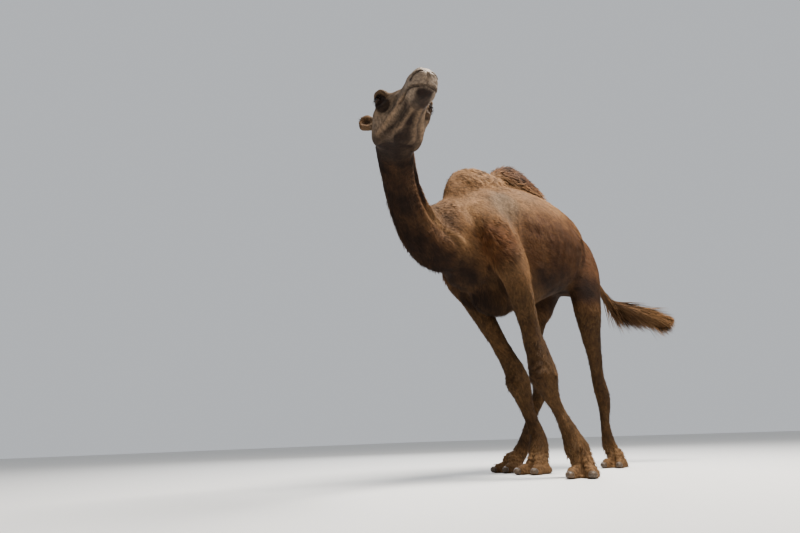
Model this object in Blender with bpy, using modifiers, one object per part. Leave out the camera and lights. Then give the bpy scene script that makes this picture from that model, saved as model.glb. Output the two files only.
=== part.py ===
"""A life-size dromedary camel, standing with its head turned, as closed solids (metres, +Z up).

The camel faces -Y and its left side is +X. The whole animal is modelled as lofts and
muscle forms, melted into one surface, and then parted into nodes with thin cuts.
"""
import math

import bmesh
import bpy
from mathutils import Matrix, Vector

# ---------------------------------------------------------------- driving sizes (m)
COLLECTION_NAME = "dromedary_camel"
CUTTER_COLLECTION_NAME = "cutters"

WITHERS_TOP = 1.94        # rounded bump over the shoulders
HUMP_TOP = 2.06           # tufted hump on the middle of the back
BUTTOCK_Y = 1.47          # rearmost point of the rump, behind the withers
GAP = 0.0004              # air between neighbouring solids
VOXEL = 0.013             # grain of the melted surface
SMOOTH_STEPS = 9
TRUNK_SMOOTH_STEPS = 24   # further rounds that blend the muscle forms of the trunk
TRUNK_FROM_HEIGHT = 1.00  # the trunk's blending starts here and is whole at the next one
TRUNK_FULL_HEIGHT = 1.20
TRUNK_FRONT_Y = -0.48
RING_POINTS = 28          # points round each lofted ring
RING_SPACING = 0.018      # distance between lofted rings
SURFACE_TRIANGLES = 5620  # of the melted body, before it is parted
HEAD_DETAIL = 0.025       # 0..1, how much of the head's own grain is kept

EYE_RADIUS = 0.0235
EYE_FORWARD = 0.185       # along the head, from the nape joint
EYE_SIDE = 0.108
EYE_UP = 0.027
EAR_LENGTH = 0.106        # from the middle of its root, inside the crown
EAR_HALF_WIDTH = 0.051
EAR_HALF_DEPTH = 0.013
EAR_OUTLINE = (           # share of the length, of the half width and of the half depth
    (0.0, 0.60, 0.70),
    (0.35, 0.80, 1.0),
    (0.65, 1.0, 1.0),
    (0.88, 0.80, 0.70),
    (1.0, 0.28, 0.25),
)
EAR_CUP_SHARE = 0.68      # how far along the ear its hollow lies
EAR_CUP_RADII = (0.037, 0.019, 0.040)
EAR_LEAN = {"left": (0.62, 0.74, 0.22), "right": (-0.92, 0.26, 0.24)}  # the left one is laid back
NAIL_RADII = (0.024, 0.026, 0.021)
EYE_SEGMENTS = 14
EAR_POINTS = 12
NAIL_SEGMENTS = 10
SKIN_ROUGHNESS = 0.85
NAIL_ROUGHNESS = 0.5
EYE_ROUGHNESS = 0.1

FLOOR_Z = -0.035          # the floor, below the zero that the heights are drawn from

# head: turned to the camel's left and tipped a little up
HEAD_JOINT = Vector((0.267, -0.943, 1.755))
HEAD_TURN = math.radians(60.8)
HEAD_NOD = math.radians(-2.5)
HEAD_ROLL = math.radians(4)
HEAD_SIZE = 1.12           # the head is drawn 0.54 long and then enlarged

HIDE_TAN = (0.42, 0.27, 0.15, 1)
HIDE_DARK = (0.30, 0.17, 0.09, 1)
HUMP_RUST = (0.33, 0.14, 0.055, 1)
NAIL_GREY = (0.33, 0.29, 0.26, 1)
EYE_BROWN = (0.02, 0.012, 0.008, 1)


# ---------------------------------------------------------------- scene and materials
def clear_scene():
    for old in list(bpy.data.objects):
        bpy.data.objects.remove(old, do_unlink=True)


def make_collection(name):
    collection = bpy.data.collections.new(name)
    bpy.context.scene.collection.children.link(collection)
    return collection


def make_material(name, colour, roughness):
    material = bpy.data.materials.new(name)
    material.use_nodes = True
    shader = material.node_tree.nodes["Principled BSDF"]
    shader.inputs["Base Color"].default_value = colour
    shader.inputs["Roughness"].default_value = roughness
    shader.inputs["Metallic"].default_value = 0.0
    material.diffuse_color = colour
    return material


# ---------------------------------------------------------------- lofts
def catmull_rom(before, start, end, after, share):
    """One value of the smooth curve between start and end."""
    slope_in = (end - before) * 0.5
    slope_out = (after - start) * 0.5
    s2 = share * share
    s3 = s2 * share
    return (
        (2 * s3 - 3 * s2 + 1) * start
        + (s3 - 2 * s2 + share) * slope_in
        + (3 * s2 - 2 * s3) * end
        + (s3 - s2) * slope_out
    )


def refine(rows):
    """Rows of numbers, starting with x, y, z, run through at RING_SPACING."""
    fine = []
    last = len(rows) - 1
    for index in range(last):
        before = rows[max(index - 1, 0)]
        start = rows[index]
        end = rows[index + 1]
        after = rows[min(index + 2, last)]
        length = (Vector(end[:3]) - Vector(start[:3])).length
        count = max(2, round(length / RING_SPACING))
        for step in range(count):
            share = step / count
            fine.append([catmull_rom(*four, share) for four in zip(before, start, end, after)])
    fine.append(list(rows[last]))
    return fine


def loft(name, rows, side_hint=Vector((1, 0, 0)), matrix=None, square=2.0, points=RING_POINTS):
    """A closed tube. Each row is x, y, z, half width, half depth fore and half depth aft.

    The fore depth lies along side x direction: up on a trunk that runs aft,
    aft on a leg that runs down, and the throat side on a neck that runs forward.
    """
    fine = refine(rows)
    mesh = bmesh.new()
    rings = []
    for index, row in enumerate(fine):
        centre = Vector(row[:3])
        ahead = Vector(fine[min(index + 1, len(fine) - 1)][:3])
        behind = Vector(fine[max(index - 1, 0)][:3])
        direction = (ahead - behind).normalized()
        side = (side_hint - direction * side_hint.dot(direction)).normalized()
        fore = side.cross(direction)
        ring = []
        for step in range(points):
            angle = 2 * math.pi * step / points
            across = math.cos(angle)
            along = math.sin(angle)
            across = math.copysign(abs(across) ** (2 / square), across) * row[3]
            depth = row[4] if along > 0 else row[5]
            along = math.copysign(abs(along) ** (2 / square), along) * depth
            ring.append(mesh.verts.new(centre + side * across + fore * along))
        rings.append(ring)
    for near, far in zip(rings, rings[1:]):
        for step in range(points):
            after = (step + 1) % points
            mesh.faces.new((near[step], near[after], far[after], far[step]))
    mesh.faces.new(rings[0])
    mesh.faces.new(rings[-1])
    bmesh.ops.recalc_face_normals(mesh, faces=mesh.faces)
    if matrix is not None:
        mesh.transform(matrix)
    return finish_mesh(name, mesh)


def finish_mesh(name, mesh):
    data = bpy.data.meshes.new(name)
    mesh.to_mesh(data)
    mesh.free()
    made = bpy.data.objects.new(name, data)
    bpy.context.scene.collection.objects.link(made)
    return made


def blob(name, centre, radii, turn=(0, 0, 0), matrix=None, segments=24):
    """An ellipsoid of muscle, bone or pad, turned by degrees about x, y and z."""
    mesh = bmesh.new()
    bmesh.ops.create_uvsphere(mesh, u_segments=segments, v_segments=segments // 2 + 1, radius=1.0)
    shape = Matrix.Diagonal((*radii, 1))
    spin = Matrix.Identity(4)
    for axis, degrees in zip("XYZ", turn):
        spin = Matrix.Rotation(math.radians(degrees), 4, axis) @ spin
    placed = Matrix.Translation(centre) @ spin @ shape
    if matrix is not None:
        placed = matrix @ placed
    mesh.transform(placed)
    return finish_mesh(name, mesh)


# ---------------------------------------------------------------- trunk, hump and neck
def trunk_pieces():
    """The barrel, running aft from the breast, with withers, hump and brisket."""
    barrel = [
        # x, y (aft), z, half width, up, down
        (0, -0.27, 1.33, 0.06, 0.07, 0.08),
        (0, -0.20, 1.35, 0.14, 0.16, 0.17),
        (0, -0.05, 1.40, 0.200, 0.30, 0.29),
        (0, 0.15, 1.42, 0.235, 0.40, 0.39),
        (0, 0.40, 1.44, 0.285, 0.425, 0.42),
        (0, 0.66, 1.46, 0.310, 0.410, 0.35),
        (0, 0.90, 1.48, 0.278, 0.345, 0.29),
        (0, 1.06, 1.46, 0.212, 0.290, 0.26),
        (0, 1.20, 1.42, 0.158, 0.215, 0.22),
        (0, 1.33, 1.40, 0.115, 0.155, 0.17),
        (0, 1.42, 1.38, 0.070, 0.10, 0.10),
        (0, BUTTOCK_Y, 1.37, 0.03, 0.05, 0.05),
    ]
    withers = [
        (0, -0.27, 1.42, 0.030, 0.08, 0.10),
        (0, -0.19, 1.48, 0.055, 0.13, 0.15),
        (0, -0.11, 1.56, 0.075, 0.18, 0.20),
        (0, -0.04, 1.64, 0.090, 0.225, 0.20),
        (0, 0.04, 1.69, 0.105, WITHERS_TOP - 1.695, 0.20),
        (0, 0.18, 1.70, 0.115, WITHERS_TOP - 1.69, 0.20),
        (0, 0.32, 1.70, 0.115, 0.230, 0.20),
        (0, 0.50, 1.68, 0.100, 0.190, 0.15),
        (0, 0.70, 1.62, 0.060, 0.120, 0.12),
    ]
    hump = [
        (-0.006, 0.24, 1.80, 0.040, 0.05, 0.10),
        (-0.010, 0.31, 1.83, 0.080, 0.14, 0.14),
        (-0.014, 0.40, 1.84, 0.105, HUMP_TOP - 1.855, 0.16),
        (-0.016, 0.52, 1.84, 0.118, HUMP_TOP - 1.845, 0.16),
        (-0.015, 0.66, 1.81, 0.120, 0.185, 0.14),
        (-0.012, 0.80, 1.76, 0.105, 0.130, 0.10),
        (-0.008, 0.96, 1.68, 0.060, 0.080, 0.08),
    ]
    return [
        loft("barrel", barrel, square=2.25),
        loft("withers_ridge", withers),
        loft("hump_mass", hump),
        blob("brisket", (0, 0.19, 1.09), (0.115, 0.21, 0.130)),
        blob("breast", (0, -0.08, 1.25), (0.155, 0.17, 0.17)),
        blob("nape_root", (0.008, -0.385, 1.480), (0.080, 0.165, 0.090), turn=(22, 0, 0)),
        blob("croup", (0, 1.06, 1.58), (0.09, 0.26, 0.185), turn=(-24, 0, 0)),
    ]


def neck_rows():
    """Centre line of the neck: out of the breast, then up to the head joint."""
    return [
        # x, y, z, half width, throat, nape
        (0, 0.08, 1.47, 0.15, 0.26, 0.28),
        (0, -0.16, 1.36, 0.145, 0.19, 0.30),
        (0.005, -0.36, 1.30, 0.118, 0.145, 0.255),
        (0.030, -0.515, 1.345, 0.098, 0.138, 0.195),
        (0.060, -0.620, 1.435, 0.091, 0.134, 0.155),
        (0.100, -0.707, 1.525, 0.088, 0.130, 0.130),
        (0.150, -0.790, 1.610, 0.089, 0.124, 0.126),
        (0.208, -0.872, 1.690, 0.104, 0.116, 0.110),
        (0.265, -0.940, 1.755, 0.098, 0.094, 0.075),
    ]


def head_pieces(head_space):
    """Skull and muzzle, running forward (-Y of the head) from the nape joint."""
    skull = [
        # x, y, z, half width, down to the jaw, up to the crown
        (0, 0.060, -0.030, 0.040, 0.050, 0.040),
        (0, 0.010, -0.010, 0.082, 0.088, 0.070),
        (0, -0.080, 0.000, 0.112, 0.130, 0.086),
        (0, -0.155, 0.000, 0.119, 0.140, 0.096),
        (0, -0.225, -0.005, 0.088, 0.130, 0.083),
        (0, -0.300, -0.015, 0.068, 0.110, 0.060),
        (0, -0.380, -0.024, 0.060, 0.098, 0.050),
        (0, -0.455, -0.036, 0.066, 0.098, 0.045),
        (0, -0.510, -0.050, 0.052, 0.076, 0.034),
        (0, -0.538, -0.057, 0.024, 0.034, 0.020),
    ]
    pieces = [loft("skull", skull, matrix=head_space, square=2.3)]
    for side in (-1, 1):
        brow = (side * 0.107, -0.176, 0.063)
        cheekbone = (side * 0.107, -0.150, -0.011)
        jaw_muscle = (side * 0.082, -0.085, -0.052)
        nostril_wing = (side * 0.018, -0.470, -0.003)
        pieces.append(blob("brow", brow, (0.034, 0.055, 0.024), matrix=head_space))
        pieces.append(blob("cheekbone", cheekbone, (0.026, 0.085, 0.022), matrix=head_space))
        pieces.append(blob("jaw_muscle", jaw_muscle, (0.038, 0.085, 0.078), matrix=head_space))
        pieces.append(blob("nostril_wing", nostril_wing, (0.024, 0.040, 0.022), matrix=head_space))
    pieces.append(blob("gullet", (0.012, 0.015, -0.072), (0.097, 0.100, 0.072), matrix=head_space))
    pieces.append(blob("jaw_root", (0.004, -0.055, -0.074), (0.090, 0.085, 0.064), matrix=head_space))
    return pieces


# ---------------------------------------------------------------- legs, feet and tail
FORELEG_LEFT = [
    # x, y, z, half width, aft, fore
    (0.085, 0.07, 1.77, 0.012, 0.03, 0.03),
    (0.115, 0.06, 1.71, 0.035, 0.09, 0.09),
    (0.150, 0.04, 1.60, 0.055, 0.14, 0.13),
    (0.185, 0.02, 1.46, 0.080, 0.17, 0.15),
    (0.232, 0.02, 1.28, 0.095, 0.18, 0.14),
    (0.268, 0.055, 1.13, 0.082, 0.125, 0.10),
    (0.275, 0.095, 0.99, 0.070, 0.085, 0.075),
    (0.287, 0.145, 0.80, 0.058, 0.064, 0.060),
    (0.306, 0.184, 0.62, 0.078, 0.072, 0.076),
    (0.314, 0.198, 0.53, 0.090, 0.070, 0.086),
    (0.325, 0.221, 0.44, 0.060, 0.054, 0.056),
    (0.347, 0.264, 0.34, 0.040, 0.044, 0.040),
    (0.381, 0.314, 0.20, 0.054, 0.058, 0.054),
    (0.398, 0.337, 0.125, 0.072, 0.070, 0.072),
    (0.426, 0.355, 0.015, 0.057, 0.057, 0.068),
]
FORELEG_RIGHT = [
    (-0.085, 0.08, 1.77, 0.012, 0.03, 0.03),
    (-0.115, 0.07, 1.71, 0.035, 0.09, 0.09),
    (-0.150, 0.06, 1.60, 0.055, 0.14, 0.13),
    (-0.190, 0.07, 1.44, 0.080, 0.17, 0.15),
    (-0.225, 0.13, 1.28, 0.092, 0.18, 0.14),
    (-0.210, 0.235, 1.12, 0.080, 0.120, 0.11),
    (-0.182, 0.300, 0.99, 0.068, 0.085, 0.078),
    (-0.132, 0.400, 0.79, 0.056, 0.064, 0.060),
    (-0.092, 0.488, 0.62, 0.074, 0.070, 0.074),
    (-0.084, 0.509, 0.54, 0.088, 0.068, 0.084),
    (-0.074, 0.535, 0.45, 0.064, 0.056, 0.062),
    (-0.066, 0.569, 0.34, 0.043, 0.047, 0.043),
    (-0.042, 0.611, 0.205, 0.054, 0.057, 0.053),
    (-0.042, 0.611, 0.125, 0.070, 0.067, 0.070),
    (-0.032, 0.590, 0.015, 0.057, 0.057, 0.068),
]
HINDLEG_LEFT = [
    (0.060, 1.10, 1.70, 0.012, 0.03, 0.03),
    (0.085, 1.11, 1.64, 0.040, 0.10, 0.12),
    (0.115, 1.14, 1.54, 0.075, 0.15, 0.18),
    (0.142, 1.13, 1.38, 0.092, 0.180, 0.22),
    (0.160, 1.10, 1.20, 0.092, 0.150, 0.20),
    (0.170, 1.08, 1.06, 0.082, 0.13, 0.15),
    (0.155, 1.115, 0.90, 0.063, 0.096, 0.098),
    (0.128, 1.180, 0.74, 0.048, 0.066, 0.064),
    (0.104, 1.230, 0.60, 0.044, 0.062, 0.050),
    (0.103, 1.262, 0.49, 0.050, 0.074, 0.052),
    (0.106, 1.278, 0.40, 0.045, 0.058, 0.046),
    (0.098, 1.275, 0.30, 0.035, 0.040, 0.038),
    (0.090, 1.295, 0.19, 0.040, 0.042, 0.042),
    (0.092, 1.312, 0.110, 0.050, 0.050, 0.050),
    (0.126, 1.345, 0.015, 0.052, 0.052, 0.062),
]
HINDLEG_RIGHT = [
    (-0.060, 1.08, 1.70, 0.012, 0.03, 0.03),
    (-0.085, 1.09, 1.64, 0.040, 0.10, 0.12),
    (-0.115, 1.11, 1.54, 0.075, 0.15, 0.18),
    (-0.155, 1.08, 1.38, 0.100, 0.20, 0.21),
    (-0.188, 1.01, 1.20, 0.098, 0.18, 0.19),
    (-0.205, 0.94, 1.06, 0.085, 0.14, 0.14),
    (-0.215, 0.92, 0.90, 0.064, 0.10, 0.10),
    (-0.235, 0.96, 0.74, 0.048, 0.066, 0.066),
    (-0.248, 0.995, 0.60, 0.046, 0.066, 0.050),
    (-0.248, 0.990, 0.50, 0.050, 0.068, 0.050),
    (-0.262, 0.915, 0.37, 0.037, 0.044, 0.039),
    (-0.277, 0.822, 0.20, 0.040, 0.043, 0.042),
    (-0.292, 0.780, 0.115, 0.050, 0.050, 0.050),
    (-0.322, 0.712, 0.015, 0.052, 0.052, 0.062),
]
# foot: x, y of the sole's middle, turn outward in degrees, size
FEET = {
    "fore_left": (0.434, 0.320, 24, 1.06),
    "fore_right": (-0.034, 0.545, 2, 1.06),
    "hind_left": (0.127, 1.310, 10, 0.93),
    "hind_right": (-0.326, 0.668, -6, 0.93),
}


def foot_space(x, y, turn):
    return Matrix.Translation((x, y, FLOOR_Z)) @ Matrix.Rotation(math.radians(turn), 4, "Z")


def foot_pieces(x, y, turn, size):
    """A broad pad with two splayed toes, reaching below the floor so that the sole can be cut flat."""
    space = foot_space(x, y, turn)
    pieces = [
        blob("pad", (0, 0.032, 0.022), (0.086 * size, 0.084 * size, 0.054), matrix=space),
        blob("instep", (0, 0.022, 0.080), (0.066 * size, 0.066 * size, 0.058), matrix=space),
    ]
    for side in (-1, 1):
        toe = (side * 0.048 * size, -0.060 * size, 0.022)
        toe_radii = (0.037 * size, 0.070 * size, 0.048)
        pieces.append(blob("toe", toe, toe_radii, turn=(0, 0, side * 10), matrix=space))
    return pieces


def tail_pieces():
    tail = [
        (0.000, 1.40, 1.50, 0.050, 0.050, 0.060),
        (0.004, 1.49, 1.455, 0.042, 0.040, 0.046),
        (0.015, 1.58, 1.34, 0.034, 0.036, 0.036),
        (0.045, 1.68, 1.235, 0.040, 0.046, 0.046),
        (0.105, 1.80, 1.185, 0.048, 0.052, 0.056),
        (0.200, 1.95, 1.140, 0.044, 0.042, 0.052),
        (0.290, 2.08, 1.100, 0.028, 0.022, 0.030),
        (0.340, 2.15, 1.078, 0.010, 0.008, 0.010),
    ]
    return [loft("tail_rope", tail)]


# ---------------------------------------------------------------- melting and parting
def select_only(chosen):
    bpy.ops.object.select_all(action="DESELECT")
    for item in chosen:
        item.select_set(True)
    bpy.context.view_layer.objects.active = chosen[0]


def apply_modifiers(target):
    """Replace the object's mesh by its evaluated one."""
    graph = bpy.context.evaluated_depsgraph_get()
    data = bpy.data.meshes.new_from_object(target.evaluated_get(graph))
    target.modifiers.clear()
    target.data = data


def melt(pieces, voxel, steps):
    """One smooth closed surface round all the pieces."""
    select_only(pieces)
    bpy.ops.object.join()
    body = bpy.context.view_layer.objects.active
    remesh = body.modifiers.new("melt", "REMESH")
    remesh.mode = "VOXEL"
    remesh.voxel_size = voxel
    smooth = body.modifiers.new("smooth", "SMOOTH")
    smooth.factor = 0.5
    smooth.iterations = steps
    apply_modifiers(body)
    return body


def blend_trunk(body):
    """More smoothing for the trunk alone, so that shoulder, breast, barrel and haunch flow together."""
    group = body.vertex_groups.new(name="trunk")
    for vertex in body.data.vertices:
        rise = (vertex.co.z - TRUNK_FROM_HEIGHT) / (TRUNK_FULL_HEIGHT - TRUNK_FROM_HEIGHT)
        if vertex.co.y > TRUNK_FRONT_Y and vertex.co.y < BUTTOCK_Y:
            group.add([vertex.index], min(max(rise, 0.0), 1.0), "REPLACE")
    smooth = body.modifiers.new("blend", "SMOOTH")
    smooth.factor = 0.5
    smooth.iterations = TRUNK_SMOOTH_STEPS
    smooth.vertex_group = group.name
    apply_modifiers(body)


def thin_out(body, head_space):
    """Fewer, larger triangles, with the finer grain kept on the head."""
    weights = body.vertex_groups.new(name="detail")
    to_head = head_space.inverted()
    for vertex in body.data.vertices:
        place = to_head @ vertex.co
        on_head = -0.60 < place.y < 0.03 and abs(place.x) < 0.14 and abs(place.z) < 0.18
        weights.add([vertex.index], 1.0 - HEAD_DETAIL if on_head else 1.0, "REPLACE")
    triangulate = body.modifiers.new("triangles", "TRIANGULATE")
    triangulate.keep_custom_normals = False
    apply_modifiers(body)
    decimate = body.modifiers.new("thin_out", "DECIMATE")
    decimate.ratio = SURFACE_TRIANGLES / len(body.data.polygons)
    decimate.vertex_group = weights.name
    apply_modifiers(body)


def cut_flat_soles(body):
    mesh = bmesh.new()
    mesh.from_mesh(body.data)
    geometry = mesh.verts[:] + mesh.edges[:] + mesh.faces[:]
    floor = (0, 0, FLOOR_Z)
    bmesh.ops.bisect_plane(mesh, geom=geometry, plane_co=floor, plane_no=(0, 0, -1), clear_outer=True)
    rim = [edge for edge in mesh.edges if edge.is_boundary]
    bmesh.ops.triangle_fill(mesh, edges=rim, use_beauty=True)
    bmesh.ops.recalc_face_normals(mesh, faces=mesh.faces)
    mesh.to_mesh(body.data)
    mesh.free()


# one thin round cut between each two neighbours: middle, direction, radius
CUTS = {
    "head": ((0.195, -0.850, 1.665), (0.49, -0.55, 0.68), 0.150),
    "neck": ((0, -0.300, 1.36), (0, -0.97, -0.22), 0.30),
    "tail": ((0.010, 1.540, 1.395), (0.1, 0.60, -0.80), 0.064),
    "hump": ((-0.012, 0.55, 1.925), (0, 0.14, 1.0), 0.32),
    "foreleg_left": ((0.274, 0.090, 1.01), (0.10, 0.25, -1), 0.120),
    "foreleg_right": ((-0.184, 0.298, 0.985), (0.20, 0.45, -1), 0.108),
    "hindleg_left": ((0.178, 1.095, 1.08), (0, 0.05, -1), 0.180),
    "hindleg_right": ((-0.205, 0.945, 1.07), (0, -0.05, -1), 0.180),
}


def disc(name, middle, direction, radius, thickness, collection):
    mesh = bmesh.new()
    bmesh.ops.create_cone(
        mesh, cap_ends=True, segments=24, radius1=radius, radius2=radius, depth=thickness
    )
    spin = Vector(direction).to_track_quat("Z", "Y").to_matrix().to_4x4()
    mesh.transform(Matrix.Translation(middle) @ spin)
    made = finish_mesh(name, mesh)
    move_to(made, collection)
    made.hide_render = True
    made.display_type = "WIRE"
    return made


def move_to(item, collection):
    for old in list(item.users_collection):
        old.objects.unlink(item)
    collection.objects.link(item)


def cut_with(target, cutter):
    boolean = target.modifiers.new("cut", "BOOLEAN")
    boolean.operation = "DIFFERENCE"
    boolean.object = cutter
    apply_modifiers(target)


def loose_parts(body):
    select_only([body])
    bpy.ops.object.mode_set(mode="EDIT")
    bpy.ops.mesh.select_all(action="SELECT")
    bpy.ops.mesh.separate(type="LOOSE")
    bpy.ops.object.mode_set(mode="OBJECT")
    return list(bpy.context.selected_objects)


def mesh_middle(item):
    total = Vector()
    for vertex in item.data.vertices:
        total += vertex.co
    return total / len(item.data.vertices)


def part_body(body, cutters, parts):
    """Cut the body through at every joint line and name each solid after the cut that frees it."""
    for name, (middle, direction, radius) in CUTS.items():
        cut_with(body, disc("cut_" + name, middle, direction, radius, GAP, cutters))
    solids = loose_parts(body)
    named = {}
    for name, (middle, direction, radius) in CUTS.items():
        side = Vector(direction).normalized()
        beyond = [s for s in solids if side.dot(mesh_middle(s) - Vector(middle)) > 0]
        nearest = min(beyond, key=lambda s: (mesh_middle(s) - Vector(middle)).length)
        named[name] = nearest
        solids.remove(nearest)
    named["trunk"] = solids.pop()
    for name, solid in named.items():
        solid.name = name
        solid.data.name = name
        move_to(solid, parts)
    return named


def grown(source, amount):
    """A copy of a solid, swollen by the amount, to cut its neighbour with."""
    copy = source.copy()
    copy.data = source.data.copy()
    bpy.context.scene.collection.objects.link(copy)
    swell = copy.modifiers.new("swell", "DISPLACE")
    swell.strength = amount
    swell.mid_level = 0.0
    apply_modifiers(copy)
    return copy


def keep_as_cutter(item, name, cutters):
    item.name = name
    move_to(item, cutters)
    item.hide_render = True
    item.display_type = "WIRE"


# ---------------------------------------------------------------- eyes, ears and nails
def side_name(side):
    return "left" if side > 0 else "right"


def make_eye(side, head, head_space, cutters, parts):
    label = side_name(side)
    middle = (side * EYE_SIDE, -EYE_FORWARD, EYE_UP)
    ball = (EYE_RADIUS, EYE_RADIUS, EYE_RADIUS)
    socket = blob("socket_" + label, middle, [r + GAP for r in ball], matrix=head_space, segments=EYE_SEGMENTS)
    cut_with(head, socket)
    keep_as_cutter(socket, "socket_" + label, cutters)
    eye = blob("eye_" + label, middle, ball, matrix=head_space, segments=EYE_SEGMENTS)
    move_to(eye, parts)
    return eye


def make_ear(side, head, head_space, cutters, parts):
    """A rounded leaf with a hollow, growing out of the side of the crown."""
    label = side_name(side)
    root = Vector((side * 0.066, -0.014, 0.014))
    lean = Vector(EAR_LEAN[label]).normalized()
    rows = []
    for share, width, depth in EAR_OUTLINE:
        place = root + lean * EAR_LENGTH * share
        half_depth = EAR_HALF_DEPTH * depth
        rows.append((*place, EAR_HALF_WIDTH * width, half_depth, half_depth))
    facing = Vector((side * 0.35, -0.85, 0.10)).normalized()
    across = lean.cross(facing).normalized()
    facing = across.cross(lean)
    ear = loft("ear_" + label, rows, side_hint=across, matrix=head_space, points=EAR_POINTS)
    cup_middle = root + lean * EAR_LENGTH * EAR_CUP_SHARE + facing * EAR_CUP_RADII[1]
    cup_turn = Matrix((across, facing, lean)).transposed().to_4x4()
    cup = blob("cup_" + label, (0, 0, 0), EAR_CUP_RADII, segments=EAR_POINTS)
    cup.data.transform(head_space @ Matrix.Translation(cup_middle) @ cup_turn)
    cut_with(ear, cup)
    keep_as_cutter(cup, "cup_" + label, cutters)
    neighbour = grown(head, GAP)
    cut_with(ear, neighbour)
    keep_as_cutter(neighbour, "ear_seat_" + label, cutters)
    move_to(ear, parts)
    return ear


def make_nails(name, leg, foot, cutters, parts):
    """A nail at the tip of each of the two toes, seated in the leg's own solid."""
    x, y, turn, size = foot
    space = foot_space(x, y, turn)
    outward = 1 if name.endswith("left") else -1
    width, length, height = NAIL_RADII
    nails = []
    for side in (-1, 1):
        label = "nail_" + name + ("_outer" if side == outward else "_inner")
        middle = (side * 0.058 * size, -0.116 * size, 0.026)
        radii = (width * size, length * size, height)
        nail = blob(label, middle, radii, matrix=space, segments=NAIL_SEGMENTS)
        seat_radii = [r + GAP for r in radii]
        seat = blob("seat_" + label, middle, seat_radii, matrix=space, segments=NAIL_SEGMENTS)
        cut_with(leg, seat)
        keep_as_cutter(seat, "seat_" + label, cutters)
        move_to(nail, parts)
        nails.append(nail)
    return nails


def stand_on_origin(solids, parts):
    """Carry the solids on an empty that puts the middle of their box over the world's origin."""
    corners = [vertex.co for solid in solids for vertex in solid.data.vertices]
    middle_x = (min(c.x for c in corners) + max(c.x for c in corners)) / 2
    middle_y = (min(c.y for c in corners) + max(c.y for c in corners)) / 2
    root = bpy.data.objects.new("camel_root", None)
    root.location = (-middle_x, -middle_y, -FLOOR_Z)
    parts.objects.link(root)
    for solid in solids:
        solid.parent = root


# ---------------------------------------------------------------- the whole animal
def main():
    clear_scene()
    parts = make_collection(COLLECTION_NAME)
    cutters = make_collection(CUTTER_COLLECTION_NAME)
    head_space = (
        Matrix.Translation(HEAD_JOINT)
        @ Matrix.Rotation(HEAD_TURN, 4, "Z")
        @ Matrix.Rotation(HEAD_NOD, 4, "X")
        @ Matrix.Rotation(HEAD_ROLL, 4, "Y")
        @ Matrix.Scale(HEAD_SIZE, 4)
    )

    pieces = trunk_pieces() + head_pieces(head_space) + tail_pieces()
    pieces.append(loft("neck_tube", neck_rows()))
    for name, rows in (
        ("foreleg_left", FORELEG_LEFT),
        ("foreleg_right", FORELEG_RIGHT),
        ("hindleg_left", HINDLEG_LEFT),
        ("hindleg_right", HINDLEG_RIGHT),
    ):
        pieces.append(loft(name + "_rows", rows))
    for foot in FEET.values():
        pieces.extend(foot_pieces(*foot))

    body = melt(pieces, VOXEL, SMOOTH_STEPS)
    blend_trunk(body)
    thin_out(body, head_space)
    cut_flat_soles(body)
    named = part_body(body, cutters, parts)

    for side in (-1, 1):
        named["eye_" + side_name(side)] = make_eye(side, named["head"], head_space, cutters, parts)
    for side in (-1, 1):
        named["ear_" + side_name(side)] = make_ear(side, named["head"], head_space, cutters, parts)
    for name, foot in FEET.items():
        leg = named[name.replace("fore_", "foreleg_").replace("hind_", "hindleg_")]
        for nail in make_nails(name, leg, foot, cutters, parts):
            named[nail.name] = nail

    stand_on_origin(named.values(), parts)

    colours = {"hump": HUMP_RUST, "neck": HIDE_DARK, "tail": HUMP_RUST}
    for name, solid in named.items():
        if name.startswith("eye"):
            material = make_material("mat_" + name, EYE_BROWN, EYE_ROUGHNESS)
        elif name.startswith("nail"):
            material = make_material("mat_" + name, NAIL_GREY, NAIL_ROUGHNESS)
        else:
            material = make_material("mat_" + name, colours.get(name, HIDE_TAN), SKIN_ROUGHNESS)
        solid.data.materials.clear()
        solid.data.materials.append(material)
        solid.data.shade_smooth()


main()
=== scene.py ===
"""The looks of a life-size dromedary camel: one hide, a coat of tufts, eyes, nails and a pale studio.

Places are in the animal's own measure, in metres: the ground under the withers is the origin,
-Y is the way the trunk faces and +X is the animal's left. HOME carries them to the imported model.
Places on the head are in its own frame: -Y to the nose, +X to its left, +Z to the crown.
"""
import math

import bmesh
import bpy
import numpy as np
from mathutils import Matrix, Vector
from mathutils.bvhtree import BVHTree


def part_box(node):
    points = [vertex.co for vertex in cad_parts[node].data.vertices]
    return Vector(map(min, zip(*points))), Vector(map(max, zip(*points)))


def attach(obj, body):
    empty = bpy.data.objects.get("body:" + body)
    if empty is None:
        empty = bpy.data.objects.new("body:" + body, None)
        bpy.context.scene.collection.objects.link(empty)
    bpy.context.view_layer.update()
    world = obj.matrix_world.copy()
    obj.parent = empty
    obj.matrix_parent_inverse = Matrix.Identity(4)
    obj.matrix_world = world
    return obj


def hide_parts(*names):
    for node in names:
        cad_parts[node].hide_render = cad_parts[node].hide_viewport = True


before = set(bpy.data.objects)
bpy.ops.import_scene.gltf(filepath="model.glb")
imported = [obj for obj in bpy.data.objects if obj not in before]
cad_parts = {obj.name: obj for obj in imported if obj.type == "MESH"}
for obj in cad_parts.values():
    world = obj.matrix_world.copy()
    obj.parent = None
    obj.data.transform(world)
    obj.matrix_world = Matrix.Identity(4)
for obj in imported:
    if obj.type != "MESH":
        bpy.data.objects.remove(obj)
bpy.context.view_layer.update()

# ---- sizes and colours
HEAD_SIZE = 1.12
HEAD_FRAME = (
    Matrix.Translation((0.267, -0.943, 1.755))
    @ Matrix.Rotation(math.radians(60.8), 4, "Z")
    @ Matrix.Rotation(math.radians(-2.5), 4, "X")
    @ Matrix.Rotation(math.radians(4), 4, "Y")
    @ Matrix.Scale(HEAD_SIZE, 4)
)
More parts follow.
